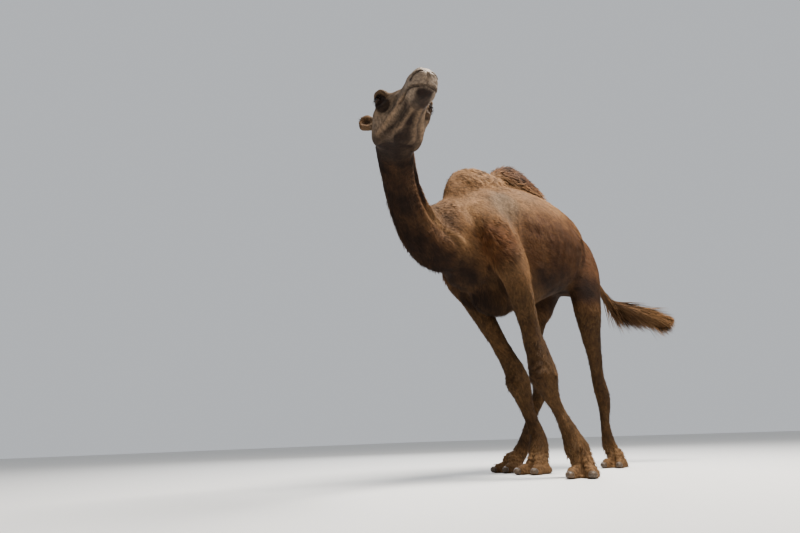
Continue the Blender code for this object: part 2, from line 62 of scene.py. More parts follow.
HEAD_TURN = HEAD_FRAME.to_3x3().normalized()
EYE_AT = Vector((0.108, -0.185, 0.027))
EYE_RADIUS = 0.0235  # in the head's frame
BALL_RADIUS = EYE_RADIUS * HEAD_SIZE
GAZE = Vector((0.93, -0.36, 0.02)).normalized()
FLESH = (
    "trunk", "hump", "neck", "head", "ear_left", "ear_right", "tail",
    "foreleg_left", "foreleg_right", "hindleg_left", "hindleg_right",
)
NAILS = [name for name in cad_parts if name.startswith("nail_")]
# foot: name, x and y of the sole's middle, turn in degrees, size
FEET = (
    ("fore_left", 0.434, 0.32, 24, 1.06), ("fore_right", -0.034, 0.545, 2, 1.06),
    ("hind_left", 0.127, 1.31, 10, 0.93), ("hind_right", -0.326, 0.668, -6, 0.93),
)
FLOOR_Z = -0.035  # the floor, in the animal's own measure
NAIL_AT = (0.058, -0.116, 0.026)
NAIL_RADII = (0.024, 0.026, 0.021)
HIDE_GRAIN = 0.007  # size of the hide's quads
FARTHEST_SHIFT = 0.03  # most that the hide moves to settle under the coat
ROOT_DEPTH = 0.0015  # how far in the hide a tuft starts
FLOOR_GAP = 0.0005  # least height of hair and hide over the floor
BAKE_PATCH = 0.003  # size of a tuft's patch in OFBake
BAKE_MARGIN = 0.04  # rim of each chart in OFBake
BARE_SOLE = 0.004  # height under which no hair grows
LASHES, UPPER_LASHES = 90, 64  # at each eye
CAMERA_AT = Vector((2.36, -3.02, 0.21))
CAMERA_TURNS = ((45, "Z"), (90 + 15.5, "X"), (-2, "Z"))  # the way it faces, its rise, its roll
SEED = 20
TAN = (0.16, 0.085, 0.038, 1)
# grey beige of the coat, also laid on as a painted sheen
GREY_BEIGE_AND_SHEEN = (0.128, 0.084, 0.05, 1)
RUST = (0.118, 0.049, 0.018, 1)
# dark umber of the coat, also laid on as painted shade
UMBER_AND_SHADE = (0.0185, 0.0088, 0.0052, 1)
# sand of the coat, also laid on as painted highlights
SAND_AND_HIGHLIGHT = (0.265, 0.152, 0.075, 1)
OCHRE = (0.135, 0.073, 0.03, 1)
MUZZLE_GREY = (0.275, 0.212, 0.16, 1)
DUST = (0.185, 0.115, 0.06, 1)

# ---- where things are on the body
NECK_LINE = (
    (0.275, -0.93, 1.755), (0.21, -0.87, 1.69), (0.15, -0.79, 1.61), (0.1, -0.707, 1.525),
    (0.06, -0.62, 1.435), (0.03, -0.515, 1.345), (0.005, -0.36, 1.3), (0, -0.16, 1.36),
)
TAIL_LINE = (
    (0.004, 1.49, 1.455), (0.015, 1.58, 1.34), (0.045, 1.68, 1.235), (0.105, 1.8, 1.185),
    (0.2, 1.95, 1.14), (0.29, 2.08, 1.1), (0.34, 2.15, 1.078),
)
TAIL_LENGTH = float(np.linalg.norm(np.diff(np.array(TAIL_LINE), axis=0), axis=1).sum())
# painted highlights run along these two lines: the side of the neck's base, and the spine behind the hump
NECK_EDGE_HIGHLIGHT = ((0.1, -0.62, 1.5), (0.125, -0.42, 1.4), (0.14, -0.24, 1.32))
BACK_LINE_HIGHLIGHT = ((0, 0.8, 1.8), (0, 1.05, 1.72), (0, 1.3, 1.63), (0, 1.44, 1.5))
FLANK_FOLD = ((0.245, 0.3, 1.27), (0.245, 0.45, 1.22), (0.215, 0.66, 1.19))
# ridges and furrows: path, width, height
MUSCLES = (
    (((0.1, -0.18, 1.62), (0.16, -0.16, 1.45), (0.2, -0.15, 1.28)), 0.035, -0.014),
    (((0.13, 0.25, 1.66), (0.24, 0.21, 1.45), (0.28, 0.19, 1.3), (0.27, 0.19, 1.16)), 0.028, -0.016),
    (((0.1, 0.02, 1.74), (0.2, -0.02, 1.58), (0.24, -0.08, 1.42)), 0.03, 0.01),
    (((0.14, 0.14, 1.7), (0.24, 0.08, 1.5), (0.27, 0.03, 1.36)), 0.016, -0.007),
    (((0.26, -0.06, 1.3), (0.28, 0.02, 1.2), (0.27, 0.06, 1.08)), 0.03, 0.009),
    (((0.2, 0.92, 1.62), (0.24, 0.95, 1.45), (0.22, 0.86, 1.22)), 0.035, -0.015),
    (((0.14, 1.1, 1.62), (0.2, 1.16, 1.42), (0.22, 1.14, 1.2)), 0.02, -0.008),
)
NECK_CORDS = (
    (((0.25, -0.8, 1.66), (0.19, -0.7, 1.56), (0.15, -0.58, 1.46), (0.12, -0.44, 1.37)), 0.018, -0.008),
    (((0.27, -0.78, 1.68), (0.21, -0.67, 1.58), (0.16, -0.55, 1.5), (0.14, -0.4, 1.42)), 0.016, 0.007),
    (((0.24, -0.98, 1.62), (0.14, -0.86, 1.48), (0.08, -0.72, 1.36), (0.02, -0.56, 1.24)), 0.02, -0.006),
    (((0.12, -0.92, 1.62), (0.06, -0.8, 1.52), (0, -0.66, 1.42), (-0.08, -0.46, 1.36)), 0.018, 0.006),
)
NECK_ROOT_FOLDS = (
    (((0.1, -0.6, 1.5), (0.125, -0.4, 1.42), (0.13, -0.22, 1.3)), 0.022, 0.007),
    (((0.125, -0.47, 1.4), (0.135, -0.33, 1.33), (0.13, -0.2, 1.22)), 0.02, -0.008),
    (((-0.05, -0.55, 1.5), (-0.11, -0.38, 1.42), (-0.13, -0.22, 1.3)), 0.022, 0.007),
)
SHIN_CORDS = (
    (((0.345, 0.235, 0.36), (0.366, 0.285, 0.24)), 0.016, 0.003),
    (((0.352, 0.292, 0.34), (0.385, 0.345, 0.2)), 0.012, 0.004),
    (((-0.08, 0.534, 0.36), (-0.066, 0.569, 0.24)), 0.016, 0.003),
    (((-0.058, 0.61, 0.34), (-0.04, 0.655, 0.2)), 0.012, 0.004),
)
# swellings and hollows of the trunk, on both sides: middle, radii, height
TRUNK_FORMS = (
    ((0.24, -0.12, 1.36), (0.09, 0.1, 0.1), 0.012), ((0.26, 0.13, 1.2), (0.08, 0.09, 0.14), 0.01),
    ((0.2, 0.84, 1.6), (0.12, 0.15, 0.12), -0.016), ((0.12, 1.03, 1.66), (0.07, 0.09, 0.07), 0.016),
)
# hollows above and below the knees, and before the tendons of the hocks
LEG_HOLLOWS = (
    *((knee, (0.075, 0.03, 0.022), -0.005) for knee in (
        (0.3, 0.185, 0.62), (-0.1, 0.49, 0.62), (0.3, 0.165, 0.44), (-0.085, 0.505, 0.45))),
    *((hock, (0.035, 0.035, 0.1), -0.004) for hock in ((0.095, 1.215, 0.55), (-0.235, 0.965, 0.56))),
)
# lines of the face, near the hide
FACE_PATHS = {
    "mouth": ((0, -0.524, -0.093), (0.027, -0.515, -0.092), (0.052, -0.485, -0.082), (0.06, -0.44, -0.078),
              (0.062, -0.38, -0.072), (0.064, -0.335, -0.066), (0.066, -0.318, -0.058)),
    "nostril": ((0.055, -0.49, -0.054), (0.048, -0.51, -0.042), (0.036, -0.522, -0.032),
                (0.014, -0.53, -0.027)),
    "lip_split": ((0, -0.535, -0.032), (0, -0.537, -0.046), (0, -0.532, -0.07), (0, -0.524, -0.09)),
    "cheek_ridge": ((0.057, -0.405, -0.05), (0.058, -0.369, -0.055), (0.067, -0.271, -0.063),
                    (0.09, -0.166, -0.085), (0.1, -0.1, -0.09)),
    "jaw_edge": ((0.02, -0.4, -0.125), (0.03, -0.32, -0.128), (0.044, -0.235, -0.135), (0.066, -0.15, -0.13)),
    "jaw_groove": ((0.046, -0.38, -0.098), (0.054, -0.315, -0.098), (0.066, -0.235, -0.105),
                   (0.086, -0.16, -0.112)),
}
# forms along those lines: line, shift up, width, height, share that fades at each end
FACE_FORMS = (
    ("cheek_ridge", 0, 0.011, 0.008, 0.25), ("jaw_edge", 0, 0.012, 0.008, 0.25),
    ("jaw_groove", 0, 0.01, -0.008, 0.25),
    ("mouth", 0.011, 0.01, 0.0045, 0.02), ("mouth", -0.012, 0.01, 0.004, 0.02),
    ("nostril", 0.011, 0.009, 0.005, 0.2), ("nostril", -0.012, 0.008, 0.003, 0.2),
)
FACE_SLITS = (
    ("mouth", 0, 0.005, -0.012, 0.03), ("nostril", 0, 0.0048, -0.013, 0.2),
    ("lip_split", 0, 0.0045, -0.006, 0.2),
)
CHEEK_HOLLOW = (0.078, -0.25, -0.025)
# hollows between the jaws, of the cheek, the temple and beside the nose
FACE_HOLLOWS = (
    ((0, -0.29, -0.13), (0.03, 0.13, 0.06), -0.01), (CHEEK_HOLLOW, (0.05, 0.095, 0.034), -0.011),
    ((0.09, -0.11, 0.072), (0.03, 0.045, 0.03), -0.008), ((0.052, -0.33, 0.02), (0.035, 0.09, 0.03), -0.006),
)
EAR_CUPS = ((-0.135, -0.008, 0.034), (0.113, 0.025, 0.031))
# what fills the face out under the hide, on both sides: place, radii
FACE_BLOBS = (
    ((EYE_AT.x - 0.001, EYE_AT.y, EYE_AT.z + 0.001), (EYE_RADIUS * 1.2,) * 3),
    ((0.026, -0.49, -0.058), (0.032, 0.04, 0.026)), ((0.04, -0.4, -0.06), (0.024, 0.07, 0.026)),
)
# painted shade of the breast, groin, armpits and upper arms, on both sides: strength, middle, radii
SHADE_SPOTS = (
    (0.95, (0, -0.2, 1.16), (0.26, 0.26, 0.22)), (0.9, (0, 0.93, 1.2), (0.2, 0.34, 0.3)),
    (0.85, (0.17, 0.13, 1.08), (0.12, 0.16, 0.16)), (0.4, (0.26, -0.02, 1.2), (0.13, 0.2, 0.22)),
)

eye_low, eye_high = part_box("eye_left")
HOME = (eye_low + eye_high) / 2 - HEAD_FRAME @ EYE_AT
HOME_NP = np.array(HOME)
TO_HEAD = np.array(HEAD_FRAME.inverted())
TURN_NP = np.array(HEAD_TURN)
HEAD_LINES = {}  # the face's lines as laid on the hide


# ---- small helpers
def to_own(places):
    """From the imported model's frame to the animal's own measure."""
    return places - HOME_NP


def to_head(own):
    return own @ TO_HEAD[:3, :3].T + TO_HEAD[:3, 3]


def to_foot(own, x, y, turn):
    """Across, back and up from the middle of a foot's sole."""
    spin = math.radians(turn)
    local = own - np.array((x, y, FLOOR_Z))
    across = local[:, 0] * math.cos(spin) + local[:, 1] * math.sin(spin)
    back = -local[:, 0] * math.sin(spin) + local[:, 1] * math.cos(spin)
    return np.stack((across, back, local[:, 2]), axis=1)


def foot_frame(x, y, turn):
    return Matrix.Translation(HOME + Vector((x, y, FLOOR_Z))) @ Matrix.Rotation(math.radians(turn), 4, "Z")


def unit(rows):
    return rows / np.maximum(np.linalg.norm(rows, axis=1, keepdims=True), 1e-9)


def ramp(value, low, high):
    share = np.clip((value - low) / (high - low), 0.0, 1.0)
    return share * share * (3 - 2 * share)


def bell(distance, width):
    return np.exp(-((distance / width) ** 2))


def most(*masks):
    return np.maximum.reduce(masks)


def mirrored(places):
    """The same places on the left side, for what is alike on both sides."""
    both = places.copy()
    both[:, 0] = np.abs(both[:, 0])
    return both


def spot(places, centre, radii):
    """1 in the middle of an ellipsoid, falling softly to 0 at its edge."""
    reach = np.linalg.norm((places - np.array(centre)) / np.array(radii), axis=1)
    return 1.0 - ramp(reach, 0.35, 1.0)


def along_path(places, path):
    """Distance to a line through points, and how far along it (0 to 1) the nearest point is."""
    path = np.array(path, float)
    lengths = np.linalg.norm(np.diff(path, axis=0), axis=1)
    starts = np.concatenate(([0.0], np.cumsum(lengths)))
    best = np.full(len(places), np.inf)
    share = np.zeros(len(places))
    for index, (start, end) in enumerate(zip(path, path[1:])):
        step = end - start
        part = np.clip((places - start) @ step / (step @ step), 0, 1)
        gap = np.linalg.norm(places - start - part[:, None] * step, axis=1)
        closer = gap < best
        best = np.where(closer, gap, best)
        share = np.where(closer, (starts[index] + part * lengths[index]) / starts[-1], share)
    return best, share


def way_along(path, share):
    """The way a path runs at these shares of it."""
    path = np.array(path)
    step = np.clip((share * (len(path) - 1)).astype(int), 0, len(path) - 2)
    return unit(path[step + 1] - path[step])


def ripple(places, size, seed):
    """Smooth noise about -1 to 1, with lumps about this size."""
    chance = np.random.default_rng(seed)
    total = np.zeros(len(places))
    for _ in range(7):
        way = chance.normal(size=3)
        way *= 2 * math.pi / (size * chance.uniform(1.6, 3.2) * np.linalg.norm(way))
        total += np.sin(places @ way + chance.uniform(0, 6.28))
    return total / 2.6


def read(items, name, width, kind=np.float32):
    values = np.empty(len(items) * width, kind)
    items.foreach_get(name, values)
    return values.reshape(-1, width).astype(float if kind == np.float32 else kind)


def keep(items, name, values, kind=np.float32):
    items.foreach_set(name, np.asarray(values).astype(kind).ravel())


def new_piece(name, data):
    piece = bpy.data.objects.new(name, data)
    bpy.context.scene.collection.objects.link(piece)
    return piece


def finished(piece, material):
    piece.data.materials.clear()
    piece.data.materials.append(material)
    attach(piece, "root")
    return piece


def new_ball(name, segments, rings):
    """The mesh of a ball of radius 1, and its places."""
    mesh = bmesh.new()
    bmesh.ops.create_uvsphere(mesh, u_segments=segments, v_segments=rings, radius=1.0)
    data = bpy.data.meshes.new(name)
    mesh.to_mesh(data)
    mesh.free()
    return data, read(data.vertices, "co", 3)


def reshape(data, places):
    keep(data.vertices, "co", places)
    data.update()
    data.shade_smooth()


# ---- the hide: raw form
def add_blob(mesh, place, radii, matrix):
    """Melt an ellipsoid into the flesh; place and radii are in the given frame."""
    shape = matrix @ Matrix.Translation(place) @ Matrix.Diagonal((*radii, 1))
    bmesh.ops.create_uvsphere(mesh, u_segments=24, v_segments=14, radius=1.0, matrix=shape)


def raw_flesh():
    """The animal's solids melted together, with lids, lips and toes filled in, as one surface."""
    mesh = bmesh.new()
    for name in FLESH:
        mesh.from_mesh(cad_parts[name].data)
    for _, x, y, turn, size in FEET:
        for side in (-1, 1):
            across, ahead, rise = NAIL_AT
            place = (side * across * size, ahead * size + 0.007, rise)
            add_blob(mesh, place, [radius * size * 0.92 for radius in NAIL_RADII], foot_frame(x, y, turn))
    head = Matrix.Translation(HOME) @ HEAD_FRAME
    for side in (-1, 1):
        for (x, y, z), radii in FACE_BLOBS:
            add_blob(mesh, (side * x, y, z), radii, head)
    add_blob(mesh, (0, -0.455, -0.112), (0.034, 0.05, 0.024), head)
    data = bpy.data.meshes.new("hide")
    mesh.to_mesh(data)
    mesh.free()
    piece = new_piece("hide", data)
    melt = piece.modifiers.new("melt", "REMESH")
    melt.mode = "VOXEL"
    melt.voxel_size = HIDE_GRAIN
    graph = bpy.context.evaluated_depsgraph_get()
    piece.data = bpy.data.meshes.new_from_object(piece.evaluated_get(graph))
    piece.modifiers.clear()
    piece.data.materials.clear()
    return piece


class Surface:
    """A mesh's places, edges and normals as arrays, for shaping it as clay."""

    def __init__(self, mesh):
        self.mesh = mesh
        self.places = read(mesh.vertices, "co", 3)
        self.edges = read(mesh.edges, "vertices", 2, np.int32)
        links = np.bincount(self.edges.ravel(), minlength=len(self.places))
        self.links = np.maximum(links.astype(float), 1)
        self.refresh()

    def around(self, values):
        """The mean of each point's neighbours."""
        first, second = self.edges.T
        count = len(self.places)
        columns = []
        for column in values.T:
            total = np.bincount(first, column[second], count)
            total += np.bincount(second, column[first], count)
            columns.append(total / self.links)
        return np.stack(columns, axis=1)

    def soften(self, values, rounds):
        for _ in range(rounds):
            values = 0.5 * values + 0.5 * self.around(values)
        return values

    def relax(self, rounds_each):
        """Smooth each place by its own number of rounds."""
        for done in range(int(rounds_each.max())):
            weight = 0.5 * np.clip(rounds_each - done, 0, 1)[:, None]
            self.places += weight * (self.around(self.places) - self.places)
        self.refresh()

    def refresh(self):
        keep(self.mesh.vertices, "co", self.places)
        self.mesh.update()
        self.normals = unit(read(self.mesh.vertex_normals, "vector", 3))

    def push(self, heights):
        self.places += self.normals * heights[:, None]

    def areas(self):
        return Areas(self.places, self.normals)

    def heads(self):
        """The places in the head's frame."""
        return to_head(to_own(self.places))


def solid_tree():
    """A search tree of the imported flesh, to keep the hide at its depth under the coat."""
    mesh = bmesh.new()
    for name in (*FLESH, *NAILS):
        mesh.from_mesh(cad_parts[name].data)
    tree = BVHTree.FromBMesh(mesh)
    mesh.free()
    return tree


def settle(surface, tree, depths):
    """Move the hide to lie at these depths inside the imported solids."""
    found = np.empty(len(surface.places))
    for index, (place, normal) in enumerate(zip(surface.places, surface.normals)):
        nearest = tree.find_nearest(Vector(place), 2 * FARTHEST_SHIFT)[0]
        found[index] = (np.array(nearest) - place) @ normal if nearest is not None else 0.0
    for side in (-1, 1):
        reach = np.linalg.norm(surface.places - eye_axes(side)[0], axis=1)
        found -= (found - depths) * (1 - ramp(reach, 0.032, 0.046))
    shift = surface.soften((found - depths)[:, None], 10)[:, 0]
    surface.push(np.clip(shift, -FARTHEST_SHIFT, FARTHEST_SHIFT))
    surface.refresh()


class Areas:
    """Soft masks, 0 to 1, of the parts of the body for a set of places."""

    def __init__(self, places, normals):
        own = to_own(places)
        head = to_head(own)
        both = mirrored(own)
        ahead = head[:, 1]
        y, z = own[:, 1], own[:, 2]
        self.own, self.both, self.normals = own, both, normals
        self.heads, self.mirror = head, mirrored(head)
        self.head = 1 - ramp(ahead, -0.02, 0.05)
        self.ear = self.head * ramp(self.mirror[:, 0], 0.108, 0.122) * ramp(ahead, -0.1, -0.075)
        self.muzzle = self.head * (1 - ramp(ahead, -0.46, -0.36))
        gap, self.tail_share = along_path(own, TAIL_LINE)
        self.tail = (1 - ramp(gap, 0.08, 0.11)) * ramp(y, 1.46, 1.53)
        self.brush = self.tail * ramp(self.tail_share, 0.2, 0.36)
        self.neck = (1 - self.head) * (1 - ramp(y, -0.34, -0.22)) * (1 - ramp(z, 1.9, 2.0))
        self.nape = self.neck * ramp(normals[:, 2], -0.1, 0.5)
        self.throat = self.neck * ramp(-normals[:, 2], -0.25, 0.45)
        self.leg = (1 - ramp(z, 0.98, 1.16)) * (1 - self.tail)
        self.foot = 1 - ramp(z, 0.07, 0.17)
        self.trunk = np.clip(1 - self.head - self.neck - self.leg - self.tail, 0, 1)
        self.belly = self.trunk * ramp(-normals[:, 2], 0.25, 0.8)
        self.hump = spot(own, (-0.012, 0.56, 1.99), (0.2, 0.44, 0.17))
        self.withers = spot(own, (0, 0.1, 1.88), (0.2, 0.34, 0.22))
        self.shoulder = spot(both, (0.23, -0.07, 1.33), (0.17, 0.22, 0.19))
        self.brisket = spot(own, (0, 0.14, 1.05), (0.2, 0.34, 0.2))
        self.callus = np.maximum(
            spot(own, (0.318, 0.11, 0.53), (0.1, 0.075, 0.115)),
            spot(own, (-0.08, 0.435, 0.545), (0.095, 0.075, 0.11)),
        )


# ---- the hide: sculpting
def refine(piece, wanted):
    """Split the quads whose corners are all wanted into four."""
    mesh = bmesh.new()
    mesh.from_mesh(piece.data)
    mesh.verts.ensure_lookup_table()
    edges = [edge for edge in mesh.edges if wanted[edge.verts[0].index] and wanted[edge.verts[1].index]]
    bmesh.ops.subdivide_edges(mesh, edges=edges, cuts=1, use_grid_fill=True)
    mesh.to_mesh(piece.data)
    mesh.free()


def ridge(surface, at, path, width, height, ends=0.15):
    """Raise (or with a negative height, press in) the hide along a path, fading at its two ends."""
    gap, share = along_path(at, path)
    fade = ramp(share, -0.01, ends) * (1 - ramp(share, 1 - ends, 1.01))
    surface.push(height * fade * bell(gap, width))


def dents(surface, at, rows):
    """Swell or hollow the hide by rows of middle, radii and height."""
    for centre, radii, height in rows:
        surface.push(height * spot(at, centre, radii))


def traced(places, path):
    """A path through points near the hide, closely spaced and laid on it."""
    path = np.array(path, float)
    shares = (0, 0.25, 0.5, 0.75)
    steps = [start + (end - start) * share for start, end in zip(path, path[1:]) for share in shares]
    laid = np.array([places[np.argmin(((places - point) ** 2).sum(1))] for point in (*steps, path[-1])])
    laid[1:-1] = (laid[:-2] + laid[1:-1] + laid[2:]) / 3
    return laid


def face_forms(surface, head, rows):
    """Raise or press in the hide along the lines of the face."""
    for name, shift, width, height, ends in rows:
        ridge(surface, head, HEAD_LINES[name] + np.array((0, 0, shift)), width, height, ends)


def sculpt_head(surface):
    head = mirrored(surface.heads())
    near = head[(head[:, 1] < 0.05) & (np.abs(head[:, 2]) < 0.2)]
    for name, path in FACE_PATHS.items():
        HEAD_LINES[name] = traced(near, path)
    face_forms(surface, head, FACE_FORMS)
    dents(surface, head, FACE_HOLLOWS)
    for cup in EAR_CUPS:
        dents(surface, surface.heads(), ((cup, (0.038, 0.022, 0.026), -0.013),))
    surface.refresh()
    head = mirrored(surface.heads())
    face_forms(surface, head, FACE_SLITS)
    # creases of the cheek behind the mouth, and wrinkles of the lips
    for step in range(6):
        back = 0.013 * step
        crease = ((0.06, -0.318 + back, 0), (0.056, -0.312 + back, -0.02), (0.06, -0.306 + back, -0.04))
        ridge(surface, head, crease, 0.0035, -0.0016)
    wrinkle = np.sin(head[:, 2] * 420 + head[:, 1] * 90 + 2 * ripple(head, 0.03, 15))
    surface.push(0.0007 * wrinkle * spot(head, (0.03, -0.47, -0.06), (0.06, 0.09, 0.07)))
    surface.refresh()
    open_eyes(surface)


def eye_axes(side):
    """Middle of the eye and its gaze, forward and up directions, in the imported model's frame."""
    middle = np.array(HOME + HEAD_FRAME @ Vector((side * EYE_AT.x, EYE_AT.y, EYE_AT.z)))
    gaze = np.array(HEAD_TURN @ Vector((side * GAZE.x, GAZE.y, GAZE.z)))
    up = np.array(HEAD_TURN @ Vector((0, 0, 1)))
    up = up - gaze * (up @ gaze)
    up /= np.linalg.norm(up)
    return middle, gaze, np.cross(up, gaze) * side * -1, up


def eye_view(places, side):
    """Offset and distance from an eye's middle, ahead and up in its radii, and the lids' almond.

    The almond is below 1 inside the opening of the lids.
    """
    middle, gaze, forward, up = eye_axes(side)
    offset = places - middle
    ahead, across, rise = (offset @ way / BALL_RADIUS for way in (gaze, forward, up))
    almond = np.sqrt((across / 0.92) ** 2 + ((rise + 0.1 - 0.12 * across) / 0.56) ** 2)
    return offset, np.linalg.norm(offset, axis=1), ahead, rise, almond


def open_eyes(surface):
    """Press an almond opening into each lid, and crease the lids round it."""
    for side in (-1, 1):
        offset, reach, ahead, rise, almond = eye_view(surface.places, side)
        middle = eye_axes(side)[0]
        near = (reach < BALL_RADIUS * 2.4) & (ahead > -0.3)
        # a rim that covers the ball, sinking away into the face round it
        cover = BALL_RADIUS * (1.1 + 0.03 * ramp(rise, 0.0, 0.5)) * (1 - ramp(almond, 1.7, 2.6)) * near
        outward = offset / reach[:, None]
        want = middle + outward * np.maximum(reach, cover)[:, None]
        inside = near & (almond < 1.0) & (ahead > 0)
        want[inside] = (middle + outward * BALL_RADIUS * 0.86)[inside]
        surface.places[near] = want[near]
        lid = np.where(near, bell(almond - 1.22, 0.16), 0)
        fold = np.where(near, bell(almond - 1.75, 0.16), 0) * ramp(rise, -0.3, 0.4)
        surface.push(0.0016 * lid * (almond >= 1.0) - 0.0026 * fold)
    surface.refresh()


def sculpt_body(surface):
    areas = surface.areas()
    own, both = areas.own, areas.both
    for rows, at, ends in ((MUSCLES, both, 0.3), (NECK_CORDS, own, 0.3), (SHIN_CORDS, own, 0.15)):
        for path, width, height in rows:
            ridge(surface, at, traced(at, path), width, height, ends)
    for row in NECK_ROOT_FOLDS:
        ridge(surface, own, *row)
    fold = traced(both, FLANK_FOLD)
    ridge(surface, both, fold, 0.022, 0.005)
    ridge(surface, both, fold + np.array((0, 0, -0.04)), 0.026, -0.003)
    dents(surface, both, TRUNK_FORMS)
    dents(surface, own, LEG_HOLLOWS)
    for rib in range(7):
        y = 0.26 + 0.085 * rib
        path = ((0.22, y, 1.64), (0.3, y + 0.02, 1.48), (0.27, y + 0.01, 1.27))
        ridge(surface, both, path, 0.022, 0.0045, 0.3)
    for index in range(4):
        drop = 0.055 * index
        path = ((0.18, 0.78, 1.66 - drop), (0.22, 0.95, 1.62 - drop), (0.2, 1.15, 1.55 - drop))
        ridge(surface, both, traced(both, path), 0.012, 0.0035, 0.3)
    share = along_path(own, NECK_LINE)[1]
    folds = np.sin(share * 210 + 2.2 * ripple(own, 0.06, 5)) * (0.4 + 0.6 * ripple(own, 0.1, 6))
    surface.push(0.0013 * folds * areas.neck * (1 - ramp(share, 0.62, 0.85)))
    # the knees' thick cracked pads, and the uneven hair of the withers
    cracks = 1 - np.abs(ripple(own, 0.022, 8))
    surface.push(areas.callus * (0.008 + 0.004 * ripple(own, 0.02, 8) - 0.006 * ramp(cracks, 0.88, 1.0)))
    surface.push(areas.withers * (0.005 * ripple(own, 0.085, 21) + 0.0014 * ripple(own, 0.025, 22)))
    # feet: a groove between the toes, creases above the nails, cracked soles
    for _, x, y, turn, _ in FEET:
        across, ahead, rise = to_foot(own, x, y, turn).T
        near = (np.abs(across) < 0.12) & (np.abs(ahead) < 0.17) & (rise < 0.16)
        groove = bell(across, 0.011) * (1 - ramp(ahead, -0.06, 0.02)) * ramp(rise, 0.004, 0.02)
        folds = np.sin(rise * 260 + 2.5 * ripple(own, 0.05, 10)) * ramp(rise, 0.03, 0.06)
        rings = np.sin(ahead * 330 + 2 * ripple(own, 0.03, 9)) * ramp(rise, 0.02, 0.05)
        rings *= 1 - ramp(ahead, -0.03, 0.03)
        surface.push(near * (0.0022 * folds + 0.0012 * rings - 0.02 * groove))
    rough = ripple(own, 0.035, 11) * 0.5 + ripple(own, 0.09, 12)
    surface.push(0.0012 * rough * (areas.leg + 0.6 * areas.trunk + 0.5 * areas.neck))
    surface.refresh()


def coat_depth(areas):
    """How far the hide lies under the tips of the coat."""
    depth = 0.005 * np.ones(len(areas.own))
    depth -= 0.0025 * areas.head + 0.002 * areas.leg
    depth += 0.016 * areas.hump + 0.005 * areas.withers + 0.006 * areas.shoulder
    depth += 0.018 * areas.brush + 0.004 * areas.nape
    for _, x, y, turn, size in FEET:
        local = mirrored(to_foot(areas.own, x, y, turn))
        depth += 0.0045 * spot(local, [size * value for value in NAIL_AT], (0.034, 0.036, 0.034))
    depth = np.where(areas.own[:, 2] < FLOOR_Z + 0.012, FLOOR_GAP, depth)
    return np.maximum(depth, FLOOR_GAP)


def make_hide():
    piece = raw_flesh()
    surface = Surface(piece.data)
    areas = surface.areas()
    rounds = 60 * areas.trunk + 34 * areas.neck + 14 * areas.leg + 14 * areas.tail + 7 * areas.head
    rounds = np.where(areas.foot > 0.5, 6, rounds)
    rounds = np.where(areas.hump > 0.2, np.minimum(rounds, 40), rounds)
    rounds = np.where(areas.ear > 0.3, 4, rounds)
    surface.relax(rounds + 44 * spot(areas.heads, (0, 0, -0.11), (0.16, 0.17, 0.14)))
    areas = surface.areas()
    settle(surface, solid_tree(), coat_depth(areas))
    surface.relax(40 * spot(areas.heads, (0, 0.02, -0.12), (0.17, 0.13, 0.11)))
    refine(piece, areas.head > 0.5)
    surface = Surface(piece.data)
    surface.relax(3 * (surface.areas().head > 0.4))
    sculpt_head(surface)
    sculpt_body(surface)
    surface.places[:, 2] = np.maximum(surface.places[:, 2], 0.0)
    surface.refresh()
    piece.data.shade_smooth()
    return piece, surface


# ---- markings, with painted shade, highlights and sheen
def face_marks(areas):
    """The dark of the face, mostly painted shade under the jaw and in its slits, grooves and hollows; the
    painted shade of the gullet; and the pale of the face, with painted highlights on its ridges and brow.
    """
    head, mirror = areas.heads, areas.mirror
    across, ahead, rise = mirror.T
    gaps = {name: along_path(mirror, path)[0] for name, path in HEAD_LINES.items()}
    socket = np.maximum(
        spot(mirror, (0.116, -0.196, 0.022), (0.046, 0.048, 0.042)),
        0.95 * spot(mirror, (0.104, -0.215, -0.006), (0.048, 0.052, 0.044)),
    )
    # painted shade under the chin, on the lower sides of the jaw and in the hollow between the jaws
    below = -rise - 0.094 + 0.1 * ramp(ahead, -0.5, -0.32)
    chin = ramp(below, -0.004, 0.012) * (1 - ramp(ahead, -0.4, -0.33))
    chin *= 1 - 0.85 * ramp(across, 0.026, 0.046)
    jaw_side = ramp(-rise - 0.075, -0.012, 0.03) * ramp(ahead, -0.46, -0.38)
    jaw_middle = ramp(spot(mirror, (0, -0.285, -0.13), (0.064, 0.25, 0.058)), 0.05, 0.4)
    # painted shade of the gullet, under the back of the head
    gullet = ramp(spot(mirror, (0, 0, -0.11), (0.15, 0.22, 0.13)), 0.0, 0.7)
    # the dark round the eyes and on the crown is the face's own; the mouth and nostril slits, the jaw groove,
    # the cheek hollow and the ear cups get painted shade
    dark = most(
        0.97 * ramp(socket, 0.05, 0.6), 0.72 * jaw_side, 0.97 * jaw_middle, 0.97 * chin,
        0.97 * bell(gaps["mouth"], 0.0075), 0.98 * bell(gaps["nostril"], 0.0085),
        0.85 * bell(gaps["jaw_groove"], 0.013),
        0.42 * areas.head * ramp(rise, 0.03, 0.09) * (1 - areas.ear),
        0.35 * spot(mirror, CHEEK_HOLLOW, (0.06, 0.1, 0.035)),
        *(0.85 * ramp(spot(head, cup, (0.034, 0.026, 0.024)), 0.1, 0.7) for cup in EAR_CUPS),
    )
    # painted highlights along the cheek and jaw ridges and on the brow; the ears' pale is their own
    fade = 1 - ramp(ahead, -0.22, -0.12)
    ridges = np.maximum(bell(gaps["cheek_ridge"], 0.017), 0.75 * fade * bell(gaps["jaw_edge"], 0.014))
    ridges *= ramp(ahead, -0.43, -0.38) * (1 - ramp(ahead, -0.15, -0.08))
    brow = spot(mirror, (0.112, -0.18, 0.07), (0.04, 0.07, 0.03))
    pale = most(0.8 * areas.head * ridges, 0.45 * areas.ear, 0.3 * brow)
    return dark * (1 - 0.85 * ridges * (1 - socket)), 0.97 * gullet * (1 - 0.6 * ridges), pale


